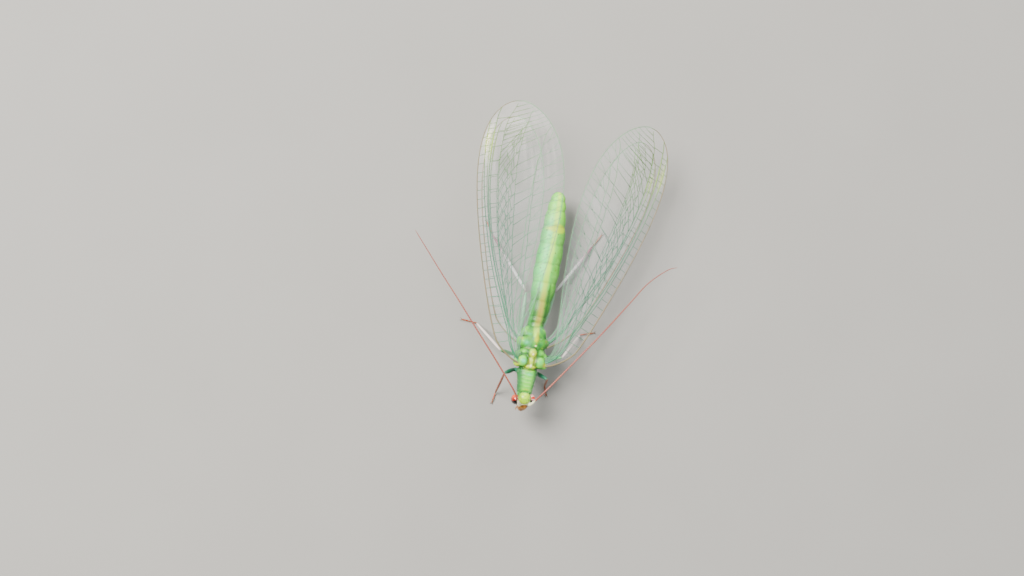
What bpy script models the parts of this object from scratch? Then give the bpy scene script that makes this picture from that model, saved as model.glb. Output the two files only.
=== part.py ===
"""A green lacewing at rest with its wings half spread, life size.

Metres, +Z up. The floor is z = 0 and the head looks along -Y, so the
animal's own left is +X. The origin lies on the floor under the middle of
the whole insect. Sizes and places below are in metres through MM.
"""
import math

import bmesh
import bpy
import numpy as np
from mathutils import Vector

MM = 0.001

# Gaps and thicknesses shared by every piece
GAP = 0.3 * MM
FINE_GAP = 0.15 * MM
LIMB_RADIUS = 0.25 * MM
KNEE_RADIUS = 0.15 * MM
BOSS_RADIUS = 0.22 * MM
WING_THICKNESS = 0.46 * MM
RIDGE_HEIGHT = 0.08 * MM
RIDGE_HALF_WIDTH = 0.15 * MM

# Head, which sits a little to the animal's right of the thorax
HEAD = np.array((-0.10, -7.08, 2.25)) * MM
CRANIUM = np.array((0.40, 0.31, 0.54)) * MM
EYE_OUT = np.array((0.34, 0.0, 0.05)) * MM
EYE = np.array((0.24, 0.25, 0.30)) * MM
EYE_BACK = 0.05 * MM

# Swellings of the head: offset from its centre and radii, in millimetres
HEAD_FORMS = {
    "crown": ((0.0, 0.08, 0.28), (0.30, 0.25, 0.27)),
    "face": ((0.0, -0.27, -0.22), (0.25, 0.24, 0.33)),
    "nape": ((0.0, 0.10, -0.02), (0.28, 0.22, 0.28)),
    "left socket": ((0.24, -0.22, 0.33), (0.12, 0.12, 0.14)),
    "right socket": ((-0.24, -0.22, 0.33), (0.12, 0.12, 0.14)),
}

# Mouthparts: the labrum under the face, a jaw and a palp on each side of it, in millimetres
LABRUM = np.array((0.0, -0.46, -0.88)) * MM + HEAD
LABRUM_RADII = np.array((0.24, 0.16, 0.20)) * MM
JAW = ((0.11, -0.07, -0.13), (0.12, 0.11, 0.17))
PALP = ((0.15, 0.02, -0.05), (0.28, 0.0, -0.22), (0.32, -0.14, -0.42))
PALP_RADII = (0.10, 0.07)

# Wings: height of the root, its place beside the thorax, length, and scale of the two margins
WINGS = {
    "forewing": (3.12 * MM, np.array((1.02, -5.25)) * MM, 12.95 * MM, 1.0, 1.0),
    "hindwing": (2.16 * MM, np.array((1.17, -4.05)) * MM, 11.0 * MM, 0.80, 0.62),
}
ROOT_HALF_WIDTH = 0.14 * MM
ROOF_TILT = math.radians(22.0)
WING_DROP = math.radians(1.5)
BOW = 2.60 * MM
BELLY = 7.61 * MM
TIP_FADE = 0.08
ROOT_FADE = 0.05

# How far each wing swings out from straight back
SPREAD = {
    ("forewing", "right"): math.radians(6.2),
    ("forewing", "left"): math.radians(15.2),
    ("hindwing", "right"): math.radians(6.0),
    ("hindwing", "left"): math.radians(16.4),
}

# Main veins as shares of the wing's width from the hind margin:
# anal, cubital, medial, radial sector and radius
VEINS = (0.12, 0.30, 0.50, 0.70, 0.87)
FOOT_SHARE = 0.36
MARGIN_RAISED = 0.6

SIDES = {"left": 1.0, "right": -1.0}

# Stations along the trunk: y, x, z, half width, half height, in millimetres
PROTHORAX = (
    (-6.46, -0.10, 2.28, 0.36, 0.35),
    (-6.25, -0.10, 2.30, 0.41, 0.41),
    (-5.95, -0.10, 2.29, 0.46, 0.45),
    (-5.60, -0.08, 2.25, 0.46, 0.44),
)
THORAX = (
    (-5.30, -0.02, 2.22, 0.52, 0.52),
    (-5.00, 0.00, 2.20, 0.74, 0.80),
    (-4.55, 0.00, 2.18, 0.72, 0.84),
    (-4.10, 0.01, 2.15, 0.73, 0.80),
    (-3.72, 0.02, 2.05, 0.58, 0.62),
    (-3.55, 0.03, 2.02, 0.46, 0.50),
)
THORAX_LOBES = (
    ((-0.37, -5.02, 2.74), (0.29, 0.27, 0.27)),
    ((0.37, -5.02, 2.74), (0.29, 0.27, 0.27)),
    ((-0.41, -5.08, 2.94), (0.19, 0.23, 0.19)),
    ((0.41, -5.08, 2.94), (0.19, 0.23, 0.19)),
    ((0.00, -4.70, 2.86), (0.26, 0.24, 0.24)),
    ((-0.36, -4.18, 2.66), (0.27, 0.30, 0.27)),
    ((0.38, -4.18, 2.66), (0.27, 0.30, 0.27)),
    ((0.02, -3.98, 2.66), (0.20, 0.22, 0.20)),
)
ABDOMEN = (
    (-3.25, 0.05, 1.93, 0.38, 0.42),
    (-2.83, 0.09, 1.90, 0.42, 0.46),
    (-2.12, 0.17, 1.83, 0.50, 0.52),
    (-1.42, 0.23, 1.75, 0.58, 0.56),
    (-0.37, 0.28, 1.67, 0.64, 0.60),
    (0.52, 0.34, 1.61, 0.62, 0.58),
    (1.39, 0.37, 1.57, 0.58, 0.54),
    (2.27, 0.37, 1.53, 0.49, 0.46),
    (2.97, 0.39, 1.49, 0.39, 0.37),
    (3.25, 0.40, 1.47, 0.29, 0.27),
    (3.38, 0.40, 1.46, 0.17, 0.16),
    (3.43, 0.40, 1.46, 0.08, 0.08),
)
COLLAR_FOLDS = (-6.25, -6.0, -5.8)
SEGMENT_JOINTS = (-2.9, -2.1, -1.15, -0.2, 0.8, 1.7, 2.5, 3.0)
SEGMENT_SWELL = 0.07

# Leg joints per pair and side: coxa root, hip, knee, ankle and claw, in millimetres
SOLE = 0.21
LEG_JOINTS = {
    ("front", "right"): ((-0.30, -5.76, 1.42), (-0.56, -5.68, 1.16), (-1.20, -5.90, 2.20),
                         (-1.17, -7.05, SOLE), (-1.26, -7.52, SOLE)),
    ("front", "left"): ((0.13, -5.76, 1.42), (0.40, -5.68, 1.16), (0.99, -5.94, 2.12),
                        (1.30, -6.36, SOLE), (1.46, -6.82, SOLE)),
    ("middle", "right"): ((-0.42, -4.95, 1.02), (-0.72, -4.94, 0.88), (-1.54, -4.82, 2.10),
                          (-2.62, -3.66, SOLE), (-3.36, -3.58, SOLE)),
    ("middle", "left"): ((0.42, -4.95, 1.02), (0.72, -4.94, 0.88), (1.58, -4.78, 2.10),
                         (2.75, -3.55, SOLE), (3.45, -3.35, SOLE)),
    ("hind", "right"): ((-0.34, -4.20, 1.02), (-0.46, -3.98, 0.82), (-0.58, -1.70, 0.84),
                        (-2.48, 1.06, SOLE), (-2.84, 1.66, SOLE)),
    ("hind", "left"): ((0.36, -4.20, 1.02), (0.50, -3.98, 0.82), (1.00, -1.60, 0.90),
                       (2.80, 1.06, SOLE), (3.15, 1.62, SOLE)),
}

# Radii along a femur, a coxa, a shin with its foot, and the shares of an antenna's length that narrow
FEMUR_RADII = (0.15, 0.23, 0.26, 0.26, 0.25, 0.15)
COXA_RADII = (0.15, 0.21, 0.20)
HIP_OVERLAP = 0.10 * MM
ANKLE_BEND = 0.25 * MM
ANTENNA_RADII = ((0.0, 0.05, 0.90, 1.0), (0.80, 1.0, 1.0, 0.40))

# Antennae: points from the socket to the tip, in millimetres
ANTENNAE = {
    "left": ((0.19, -7.35, 2.94), (0.24, -7.28, 3.13), (0.38, -6.99, 3.34), (0.66, -6.60, 3.50),
             (3.18, -3.28, 3.50), (4.42, -1.62, 3.12), (5.25, -0.52, 2.87), (6.18, 0.28, 2.65),
             (6.72, 0.52, 2.55)),
    "right": ((-0.39, -7.35, 2.94), (-0.45, -7.27, 3.13), (-0.66, -6.92, 3.32), (-0.91, -6.60, 3.40),
              (-2.21, -4.98, 3.40), (-3.18, -3.82, 3.27), (-4.22, -2.54, 3.06), (-5.15, -1.42, 2.85),
              (-6.72, 0.52, 2.55)),
}

# Colours as linear RGB
COLOURS = {
    "head": (0.55, 0.66, 0.12),
    "mouthparts": (0.45, 0.16, 0.04),
    "eye": (0.30, 0.05, 0.02),
    "antenna": (0.55, 0.22, 0.18),
    "prothorax": (0.16, 0.42, 0.20),
    "thorax": (0.26, 0.52, 0.16),
    "abdomen": (0.32, 0.58, 0.20),
    "wing": (0.62, 0.74, 0.66),
    "femur": (0.20, 0.45, 0.22),
    "tibia": (0.72, 0.52, 0.46),
}


def clear_scene():
    """Remove whatever the file holds."""
    for obj in list(bpy.data.objects):
        bpy.data.objects.remove(obj)


def new_collection(name):
    """Make a collection linked to the scene."""
    group = bpy.data.collections.new(name)
    bpy.context.scene.collection.children.link(group)
    return group


def make_material(name, colour, roughness=0.45):
    """Make a Principled material."""
    surface = bpy.data.materials.new(name)
    surface.use_nodes = True
    shader = surface.node_tree.nodes["Principled BSDF"]
    shader.inputs["Base Color"].default_value = (*colour, 1.0)
    shader.inputs["Roughness"].default_value = roughness
    shader.inputs["Metallic"].default_value = 0.0
    return surface


def place(mesh, name, group):
    """Put a mesh into the scene as a named object."""
    obj = bpy.data.objects.new(name, mesh)
    group.objects.link(obj)
    return obj


def smooth(points, count):
    """Read count points from a Catmull-Rom curve through the given rows, evenly by chord length."""
    rows = np.asarray(points, dtype=float)
    ends = (2 * rows[:1] - rows[1:2], rows, 2 * rows[-1:] - rows[-2:-1])
    padded = np.vstack(ends)
    chords = np.linalg.norm(np.diff(rows[:, :3], axis=0), axis=1)
    knots = np.concatenate(((0.0,), np.cumsum(chords)))
    wanted = np.linspace(0.0, knots[-1], count)
    span = np.clip(np.searchsorted(knots, wanted, side="right") - 1, 0, len(chords) - 1)
    f = ((wanted - knots[span]) / chords[span])[:, None]
    a, b, c, d = (padded[span + k] for k in range(4))
    return 0.5 * (2 * b + (c - a) * f + (2 * a - 5 * b + 4 * c - d) * f**2 + (3 * b - a - 3 * c + d) * f**3)


def ellipsoid(name, centre, radii, group, around=16, rings=10):
    """Make a UV sphere stretched to the given radii."""
    bm = bmesh.new()
    bmesh.ops.create_uvsphere(bm, u_segments=around, v_segments=rings, radius=1.0)
    bmesh.ops.scale(bm, vec=Vector(radii), verts=bm.verts)
    bmesh.ops.translate(bm, vec=Vector(centre), verts=bm.verts)
    mesh = bpy.data.meshes.new(name)
    bm.to_mesh(mesh)
    bm.free()
    return place(mesh, name, group)


def lens(name, centre, radii, back, side, group, around=20, rings=12):
    """Make a domed button: a half ellipsoid outwards and a shallow one of depth back inwards."""
    obj = ellipsoid(name, (0.0, 0.0, 0.0), (1.0, 1.0, 1.0), group, around, rings)
    points = np.empty(len(obj.data.vertices) * 3)
    obj.data.vertices.foreach_get("co", points)
    points = points.reshape(-1, 3)
    outward = points[:, 0] * side > 0
    points[:, 0] *= np.where(outward, radii[0], back)
    points[:, 1] *= radii[1]
    points[:, 2] *= radii[2]
    points += np.asarray(centre)
    obj.data.vertices.foreach_set("co", points.ravel())
    return obj


def loft(name, stations, group, sides=20, power=2.2):
    """Join upright superellipse rings, one per station, and cap both ends.

    A station gives y, x, z, half width and half height.
    """
    rows = np.asarray(stations)
    angle = np.linspace(0.0, 2 * math.pi, sides, endpoint=False)
    across = np.sign(np.cos(angle)) * np.abs(np.cos(angle)) ** (2 / power)
    upward = np.sign(np.sin(angle)) * np.abs(np.sin(angle)) ** (2 / power)
    bm = bmesh.new()
    rings = []
    for y, x, z, half_width, half_height in rows:
        ring = [bm.verts.new((x + half_width * a, y, z + half_height * u)) for a, u in zip(across, upward)]
        rings.append(ring)
    for front, back in zip(rings, rings[1:]):
        for i in range(sides):
            j = (i + 1) % sides
            bm.faces.new((front[i], back[i], back[j], front[j]))
    bm.faces.new(rings[0])
    bm.faces.new(list(reversed(rings[-1])))
    bmesh.ops.recalc_face_normals(bm, faces=bm.faces)
    mesh = bpy.data.meshes.new(name)
    bm.to_mesh(mesh)
    bm.free()
    return place(mesh, name, group)


def tube(name, points, radii, group, resolution=2):
    """Make a closed round tube along points, with a radius at each, as a welded mesh."""
    curve = bpy.data.curves.new(name, "CURVE")
    curve.dimensions = "3D"
    curve.bevel_depth = 1.0
    curve.bevel_resolution = resolution
    curve.use_fill_caps = True
    spline = curve.splines.new("POLY")
    spline.points.add(len(points) - 1)
    for knot, point, radius in zip(spline.points, points, radii):
        knot.co = (*point, 1.0)
        knot.radius = radius
    guide = place(curve, name + "_path", group)
    bpy.context.view_layer.update()
    mesh = bpy.data.meshes.new_from_object(guide.evaluated_get(bpy.context.evaluated_depsgraph_get()))
    bm = bmesh.new()
    bm.from_mesh(mesh)
    bmesh.ops.remove_doubles(bm, verts=bm.verts, dist=1e-7)
    bm.to_mesh(mesh)
    bm.free()
    bpy.data.objects.remove(guide)
    mesh.name = name
    return place(mesh, name, group)


def largest_body(mesh):
    """Keep only the largest closed surface of a mesh."""
    bm = bmesh.new()
    bm.from_mesh(mesh)
    left = set(bm.verts)
    bodies = []
    while left:
        grown = {left.pop()}
        edge = set(grown)
        while edge:
            edge = {e.other_vert(v) for v in edge for e in v.link_edges} - grown
            grown |= edge
        left -= grown
        bodies.append(grown)
    bodies.sort(key=len)
    loose = [v for body in bodies[:-1] for v in body]
    bmesh.ops.delete(bm, geom=loose, context="VERTS")
    bm.to_mesh(mesh)
    bm.free()


def combine(base, tools, operation, solver="EXACT"):
    """Run one Boolean of base with a collection of closed tools, apply it and remove the tools."""
    group = new_collection(base.name + "_tools")
    for tool in tools:
        tool.hide_render = True
        tool.display_type = "WIRE"
        for owner in list(tool.users_collection):
            owner.objects.unlink(tool)
        group.objects.link(tool)
    joint = base.modifiers.new(operation.title(), "BOOLEAN")
    joint.operation = operation
    joint.operand_type = "COLLECTION"
    joint.collection = group
    joint.solver = solver
    bpy.context.view_layer.update()
    mesh = bpy.data.meshes.new_from_object(base.evaluated_get(bpy.context.evaluated_depsgraph_get()))
    base.modifiers.clear()
    base.data = mesh
    for tool in tools:
        bpy.data.objects.remove(tool)
    bpy.data.collections.remove(group)
    largest_body(mesh)
    return base


def finish(obj, name, surface, sharp_degrees=50.0):
    """Name a finished piece, shade it and give it its material."""
    obj.name = name
    obj.data.name = name
    obj.data.materials.clear()
    obj.data.materials.append(surface)
    obj.data.shade_smooth()
    obj.data.set_sharp_from_angle(angle=math.radians(sharp_degrees))
    return obj


def trunk_rings(stations, count, joints=()):
    """Read smooth stations; between joints each ring swells by a half sine, so every segment bulges."""
    rows = smooth(np.asarray(stations) * MM, count)
    if joints:
        edges = np.concatenate(((rows[0, 0],), np.asarray(joints) * MM, (rows[-1, 0],)))
        within = np.clip(np.searchsorted(edges, rows[:, 0], side="right") - 1, 0, len(edges) - 2)
        part = (rows[:, 0] - edges[within]) / (edges[within + 1] - edges[within])
        bulge = 1 + SEGMENT_SWELL * (np.sin(math.pi * np.clip(part, 0.0, 1.0)) - 0.5)
        rows[:, 3:5] *= bulge[:, None]
    return rows


def build_head(group):
    """The cranium with its crown, face, nape and antenna sockets, hollowed beside each eye."""
    base = ellipsoid("head", HEAD, CRANIUM, group, 24, 14)
    tools = [
        ellipsoid(name, HEAD + np.array(offset) * MM, np.array(radii) * MM, group)
        for name, (offset, radii) in HEAD_FORMS.items()
    ]
    head = combine(base, tools, "UNION")
    hollows = [
        lens("hollow", eye_centre(side), EYE + FINE_GAP, EYE_BACK + FINE_GAP, side, group)
        for side in SIDES.values()
    ]
    return combine(head, hollows, "DIFFERENCE")


def eye_centre(side):
    """Middle of the flat back of one eye."""
    return HEAD + EYE_OUT * (side, 1.0, 1.0)


def build_eye(side, group):
    """One domed compound eye."""
    return lens("eye", eye_centre(side), EYE, EYE_BACK, side, group)


def build_mouthparts(group):
    """Labrum, two jaws and two palps, pointing down and forward under the face."""
    base = ellipsoid("labrum", LABRUM, LABRUM_RADII, group, 16, 10)
    tools = []
    for side in SIDES.values():
        mirror = np.array((side, 1.0, 1.0)) * MM
        offset, radii = JAW
        tools.append(ellipsoid("jaw", LABRUM + offset * mirror, np.array(radii) * MM, group, 12, 8))
        path = smooth(LABRUM + np.array(PALP) * mirror, 6)
        tools.append(tube("palp", path, np.linspace(*PALP_RADII, 6) * MM, group))
    return combine(base, tools, "UNION")


def coxa_boss(joints, group):
    """A low swelling on the underside of the trunk, a gap above one leg's root."""
    radii = np.array((1.0, 1.0, 1.1)) * BOSS_RADIUS
    centre = np.array(joints[0]) * MM + (0.0, 0.0, GAP + radii[2])
    return ellipsoid("boss", centre, radii, group, 14, 8)


def build_prothorax(group):
    """The collar-like first segment with cross folds and its two long coxae."""
    base = loft("prothorax", trunk_rings(PROTHORAX, 14, COLLAR_FOLDS), group, 22)
    tools = [coxa_boss(joints, group) for (pair, side), joints in LEG_JOINTS.items() if pair == "front"]
    return combine(base, tools, "UNION")


def build_thorax(group):
    """The wing-bearing thorax: lobes of both segments, bosses beside the wing roots and over the coxae."""
    base = loft("thorax", trunk_rings(THORAX, 12), group, 24, 2.4)
    tools = [
        ellipsoid("lobe", np.array(centre) * MM, np.array(radii) * MM, group)
        for centre, radii in THORAX_LOBES
    ]
    tools += [coxa_boss(joints, group) for (pair, side), joints in LEG_JOINTS.items() if pair != "front"]
    return combine(base, tools, "UNION")


def build_abdomen(group):
    """The long soft abdomen with nine bulging segments."""
    return loft("abdomen", trunk_rings(ABDOMEN, 40, SEGMENT_JOINTS), group, 20, 2.1)


def leading_edge(t, scale):
    """Costal bow ahead of the wing's axis: a quick rise, a long flat stretch and a round tip."""
    return scale * BOW * t**0.48 * np.sqrt(1 - t**5.25)


def trailing_edge(t, scale):
    """Hind margin behind the wing's axis: a slow widening, then a long curve into the tip."""
    return scale * BELLY * t**1.4 * (1 - t) ** 0.6


def wing_frame(kind, side_name, height, root):
    """Root point and the unit directions along the wing, out across it and up from it."""
    side = SIDES[side_name]
    spread = SPREAD[(kind, side_name)]
    along = Vector((side * math.sin(spread), math.cos(spread), -math.tan(WING_DROP))).normalized()
    level_out = Vector((side * math.cos(spread), -math.sin(spread), 0.0))
    out = level_out * math.cos(ROOF_TILT) - Vector((0.0, 0.0, 1.0)) * math.sin(ROOF_TILT)
    out = (out - along * out.dot(along)).normalized()
    up = along.cross(out) * -side
    origin = np.array((side * root[0], root[1], height))
    return origin, np.array(along), np.array(out), np.array(up)


def vein_columns(width):
    """Places across each row from the hind margin, and how far each is raised.

    Every vein takes three columns: its crest and a foot on either side, drawn in where veins crowd.
    """
    crests = np.array(VEINS)
    spacing = np.diff(np.concatenate(((0.0,), crests, (1.0,))))
    places = [np.zeros_like(width)]
    raised = [0.0]
    for k, crest in enumerate(crests):
        before = np.minimum(RIDGE_HALF_WIDTH, FOOT_SHARE * spacing[k] * width)
        after = np.minimum(RIDGE_HALF_WIDTH, FOOT_SHARE * spacing[k + 1] * width)
        places += [crest * width - before, crest * width, crest * width + after]
        raised += [0.0, 1.0, 0.0]
    places.append(width)
    raised.append(MARGIN_RAISED)
    return np.stack(places, axis=1), np.array(raised)


def build_wing(kind, side_name, group, rows=20):
    """A thin plate between its margins with the main veins raised on both faces.

    Both faces are split into the same triangles, so the plate keeps its thickness everywhere.
    """
    height, root, length, bow, belly = WINGS[kind]
    origin, along, out, up = wing_frame(kind, side_name, height, root)
    t = np.sin(np.linspace(0.0, 1.0, rows) * math.pi / 2) ** 1.1
    t[-1] = 0.998
    stalk = ROOT_HALF_WIDTH * (1 - t) ** 0.5
    lead = stalk + leading_edge(t, bow)
    trail = stalk + trailing_edge(t, belly)
    places, raised = vein_columns(lead + trail)
    across = places - trail[:, None]
    columns = across.shape[1]
    fade = np.clip(np.minimum((1 - t) / TIP_FADE, t / ROOT_FADE), 0.0, 1.0)
    half = WING_THICKNESS / 2 + RIDGE_HEIGHT * fade[:, None] * raised
    middle = origin + (length * t)[:, None, None] * along + across[..., None] * out
    lift = half[..., None] * up
    bm = bmesh.new()
    top = [[bm.verts.new(p) for p in line] for line in middle + lift]
    low = [[bm.verts.new(p) for p in line] for line in middle - lift]
    for i in range(rows - 1):
        for j in range(columns - 1):
            for sheet in (top, low):
                bm.faces.new((sheet[i][j], sheet[i + 1][j], sheet[i + 1][j + 1]))
                bm.faces.new((sheet[i][j], sheet[i + 1][j + 1], sheet[i][j + 1]))
    rim = [(i, 0) for i in range(rows)]
    rim += [(rows - 1, j) for j in range(1, columns)]
    rim += [(i, columns - 1) for i in range(rows - 2, -1, -1)]
    rim += [(0, j) for j in range(columns - 2, 0, -1)]
    for (i, j), (k, m) in zip(rim, rim[1:] + rim[:1]):
        bm.faces.new((top[i][j], top[k][m], low[k][m]))
        bm.faces.new((top[i][j], low[k][m], low[i][j]))
    bmesh.ops.recalc_face_normals(bm, faces=bm.faces)
    mesh = bpy.data.meshes.new(kind)
    bm.to_mesh(mesh)
    bm.free()
    return place(mesh, kind, group)


def knee_room(joints):
    """Distance to stop short of the knee, so that two blunt ends at its angle stay a gap apart."""
    hip, knee, ankle = (Vector(p) for p in joints[1:4])
    half_angle = (hip - knee).angle(ankle - knee) / 2
    return 0.6 * GAP + KNEE_RADIUS / math.tan(half_angle)


def build_femur(joints, group):
    """The upper leg: a short coxa down to the hip, and the femur up to just short of the knee."""
    root, hip, knee = (np.array(p) * MM for p in joints[:3])
    direction = (knee - hip) / np.linalg.norm(knee - hip)
    end = knee - direction * knee_room(joints)
    start = hip - direction * HIP_OVERLAP
    femur = tube("femur", smooth((start, (hip + end) / 2, end), 6), np.array(FEMUR_RADII) * MM, group)
    coxa = tube("coxa", (root, (root + hip) / 2, hip), np.array(COXA_RADII) * MM, group)
    return combine(femur, [coxa], "UNION")


def build_tibia(joints, group):
    """The lower leg and foot: down from the knee, round the ankle and flat along the floor."""
    knee, ankle, claw = (np.array(p) * MM for p in joints[2:])
    direction = (ankle - knee) / np.linalg.norm(ankle - knee)
    start = knee + direction * knee_room(joints)
    above = ankle - direction * ANKLE_BEND
    shin = smooth((start, (start + above) / 2, above), 6)
    toe = claw - ankle
    foot = ankle + toe / np.linalg.norm(toe) * ANKLE_BEND
    path = np.vstack((shin, smooth((foot, (foot + claw) / 2, claw), 4)))
    radii = np.concatenate(((KNEE_RADIUS,), np.full(8, LIMB_RADIUS), (0.8 * LIMB_RADIUS,)))
    obj = tube("tibia", path, radii, group)
    points = np.empty(len(obj.data.vertices) * 3)
    obj.data.vertices.foreach_get("co", points)
    points = points.reshape(-1, 3)
    points[:, 2] = np.maximum(points[:, 2], 0.0)
    obj.data.vertices.foreach_set("co", points.ravel())
    return obj


def build_antenna(side_name, group, count=26):
    """A long feeler of even thickness that narrows only at its root and tip."""
    path = smooth(np.array(ANTENNAE[side_name]) * MM, count)
    along = np.linspace(0.0, 1.0, count)
    radii = LIMB_RADIUS * np.interp(along, *ANTENNA_RADII)
    return tube("antenna", path, radii, group)


def main():
    clear_scene()
    insect = new_collection("green_lacewing")
    surfaces = {name: make_material(name, colour) for name, colour in COLOURS.items()}
    finish(build_head(insect), "head", surfaces["head"])
    finish(build_mouthparts(insect), "mouthparts", surfaces["mouthparts"])
    finish(build_prothorax(insect), "prothorax", surfaces["prothorax"])
    finish(build_thorax(insect), "thorax", surfaces["thorax"])
    finish(build_abdomen(insect), "abdomen", surfaces["abdomen"])
    for side_name, side in SIDES.items():
        finish(build_eye(side, insect), "eye_" + side_name, surfaces["eye"])
        finish(build_antenna(side_name, insect), "antenna_" + side_name, surfaces["antenna"])
        for kind in ("forewing", "hindwing"):
            finish(build_wing(kind, side_name, insect), kind + "_" + side_name, surfaces["wing"])
    for (pair, side_name), joints in LEG_JOINTS.items():
        leg = pair + "_leg_" + side_name
        finish(build_femur(joints, insect), leg + "_femur", surfaces["femur"])
        finish(build_tibia(joints, insect), leg + "_tibia", surfaces["tibia"])


main()
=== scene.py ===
# %% [markdown]
# # A green lacewing, life size, at rest with its wings half spread
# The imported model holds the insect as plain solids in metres: floor at z = 0, head towards -Y,
# the animal's own left on +X. This lesson lays the finished surfaces over them: one skin for head,
# collar, thorax and abdomen, eyes, mouthparts, feelers, jointed legs, veined wings and fine hairs.
# All shapes are worked out with numpy in millimetres and turned into metres only when a mesh is made.

import math

import bpy
import numpy as np
from mathutils import Matrix, Vector


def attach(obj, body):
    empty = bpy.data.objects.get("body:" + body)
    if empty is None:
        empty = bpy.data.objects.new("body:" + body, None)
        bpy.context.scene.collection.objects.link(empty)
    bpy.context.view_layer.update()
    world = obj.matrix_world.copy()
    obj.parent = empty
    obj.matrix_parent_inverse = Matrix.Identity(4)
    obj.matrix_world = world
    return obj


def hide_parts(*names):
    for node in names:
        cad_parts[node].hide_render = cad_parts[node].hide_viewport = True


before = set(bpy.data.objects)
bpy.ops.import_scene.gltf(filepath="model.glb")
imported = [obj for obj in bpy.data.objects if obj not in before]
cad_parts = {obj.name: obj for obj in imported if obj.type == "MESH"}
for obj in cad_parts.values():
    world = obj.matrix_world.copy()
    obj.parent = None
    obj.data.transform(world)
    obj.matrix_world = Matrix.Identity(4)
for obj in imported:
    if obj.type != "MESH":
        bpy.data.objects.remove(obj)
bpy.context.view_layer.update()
MM = 0.001
UPWARD = np.array((0.0, 0.0, 1.0))
print("nodes in the frame:", len(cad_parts))

# %% [markdown]
# ## Camera
# The photograph looks almost straight down on the insect, ten degrees from its left, and is rolled by
# eight degrees. A long lens keeps the perspective as flat as the photograph's.

# %% Camera
TILT = math.radians(10.0)
ROLL = math.radians(8.0)
LENS = 100.0
SENSOR = 36.0
VIEW_WIDTH = 51.2 * MM
AIM = Vector((-1.40, -1.66, 2.0)) * MM
NEAR_CLIP = 10.0 * MM

look = Vector((math.sin(TILT), 0.0, -math.cos(TILT)))
level_right = Vector((math.cos(TILT), 0.0, math.sin(TILT)))
level_up = Vector((0.0, 1.0, 0.0))
right = level_right * math.cos(ROLL) + level_up * math.sin(ROLL)
up = -level_right * math.sin(ROLL) + level_up * math.cos(ROLL)
lens = bpy.data.cameras.new("camera")
lens.lens = LENS
lens.sensor_width = SENSOR
lens.clip_start = NEAR_CLIP
camera = bpy.data.objects.new("camera", lens)
axes = Matrix((right, up, -look)).transposed().to_4x4()
camera.matrix_world = Matrix.Translation(AIM - look * VIEW_WIDTH * LENS / SENSOR) @ axes
bpy.context.scene.collection.objects.link(camera)
bpy.context.scene.camera = camera
print("camera height in mm:", round(camera.matrix_world.translation.z / MM, 1))

# %% [markdown]
# ## Paint
# A material is a small tree of nodes. Writing it as arithmetic keeps it readable, so one class wraps a
# socket and turns + - * into Math nodes, and one method makes every other node. Coordinates come in
# millimetres from the object itself, so a pattern stays on its piece in any view.


# %% Paint helpers
class Value:
    """A number, colour or vector inside a material."""

    def __init__(self, paint, socket):
        self.paint = paint
        self.socket = socket

    def math(self, operation, first, second):
        return self.paint.node("ShaderNodeMath", {"operation": operation}, {0: first, 1: second})

    def __add__(self, other):
        return self.math("ADD", self, other)

    def __sub__(self, other):
        return self.math("SUBTRACT", self, other)

    def __mul__(self, other):
        return self.math("MULTIPLY", self, other)

    def __rsub__(self, other):
        return self.math("SUBTRACT", other, self)

    __radd__ = __add__
    __rmul__ = __mul__


def tint(code):
    """Turn a six-figure sRGB code into a linear colour."""
    shares = np.array([int(code[i:i + 2], 16) / 255 for i in (0, 2, 4)])
    linear = np.where(shares <= 0.04045, shares / 12.92, ((shares + 0.055) / 1.055) ** 2.4)
    return (*linear, 1.0)


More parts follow.
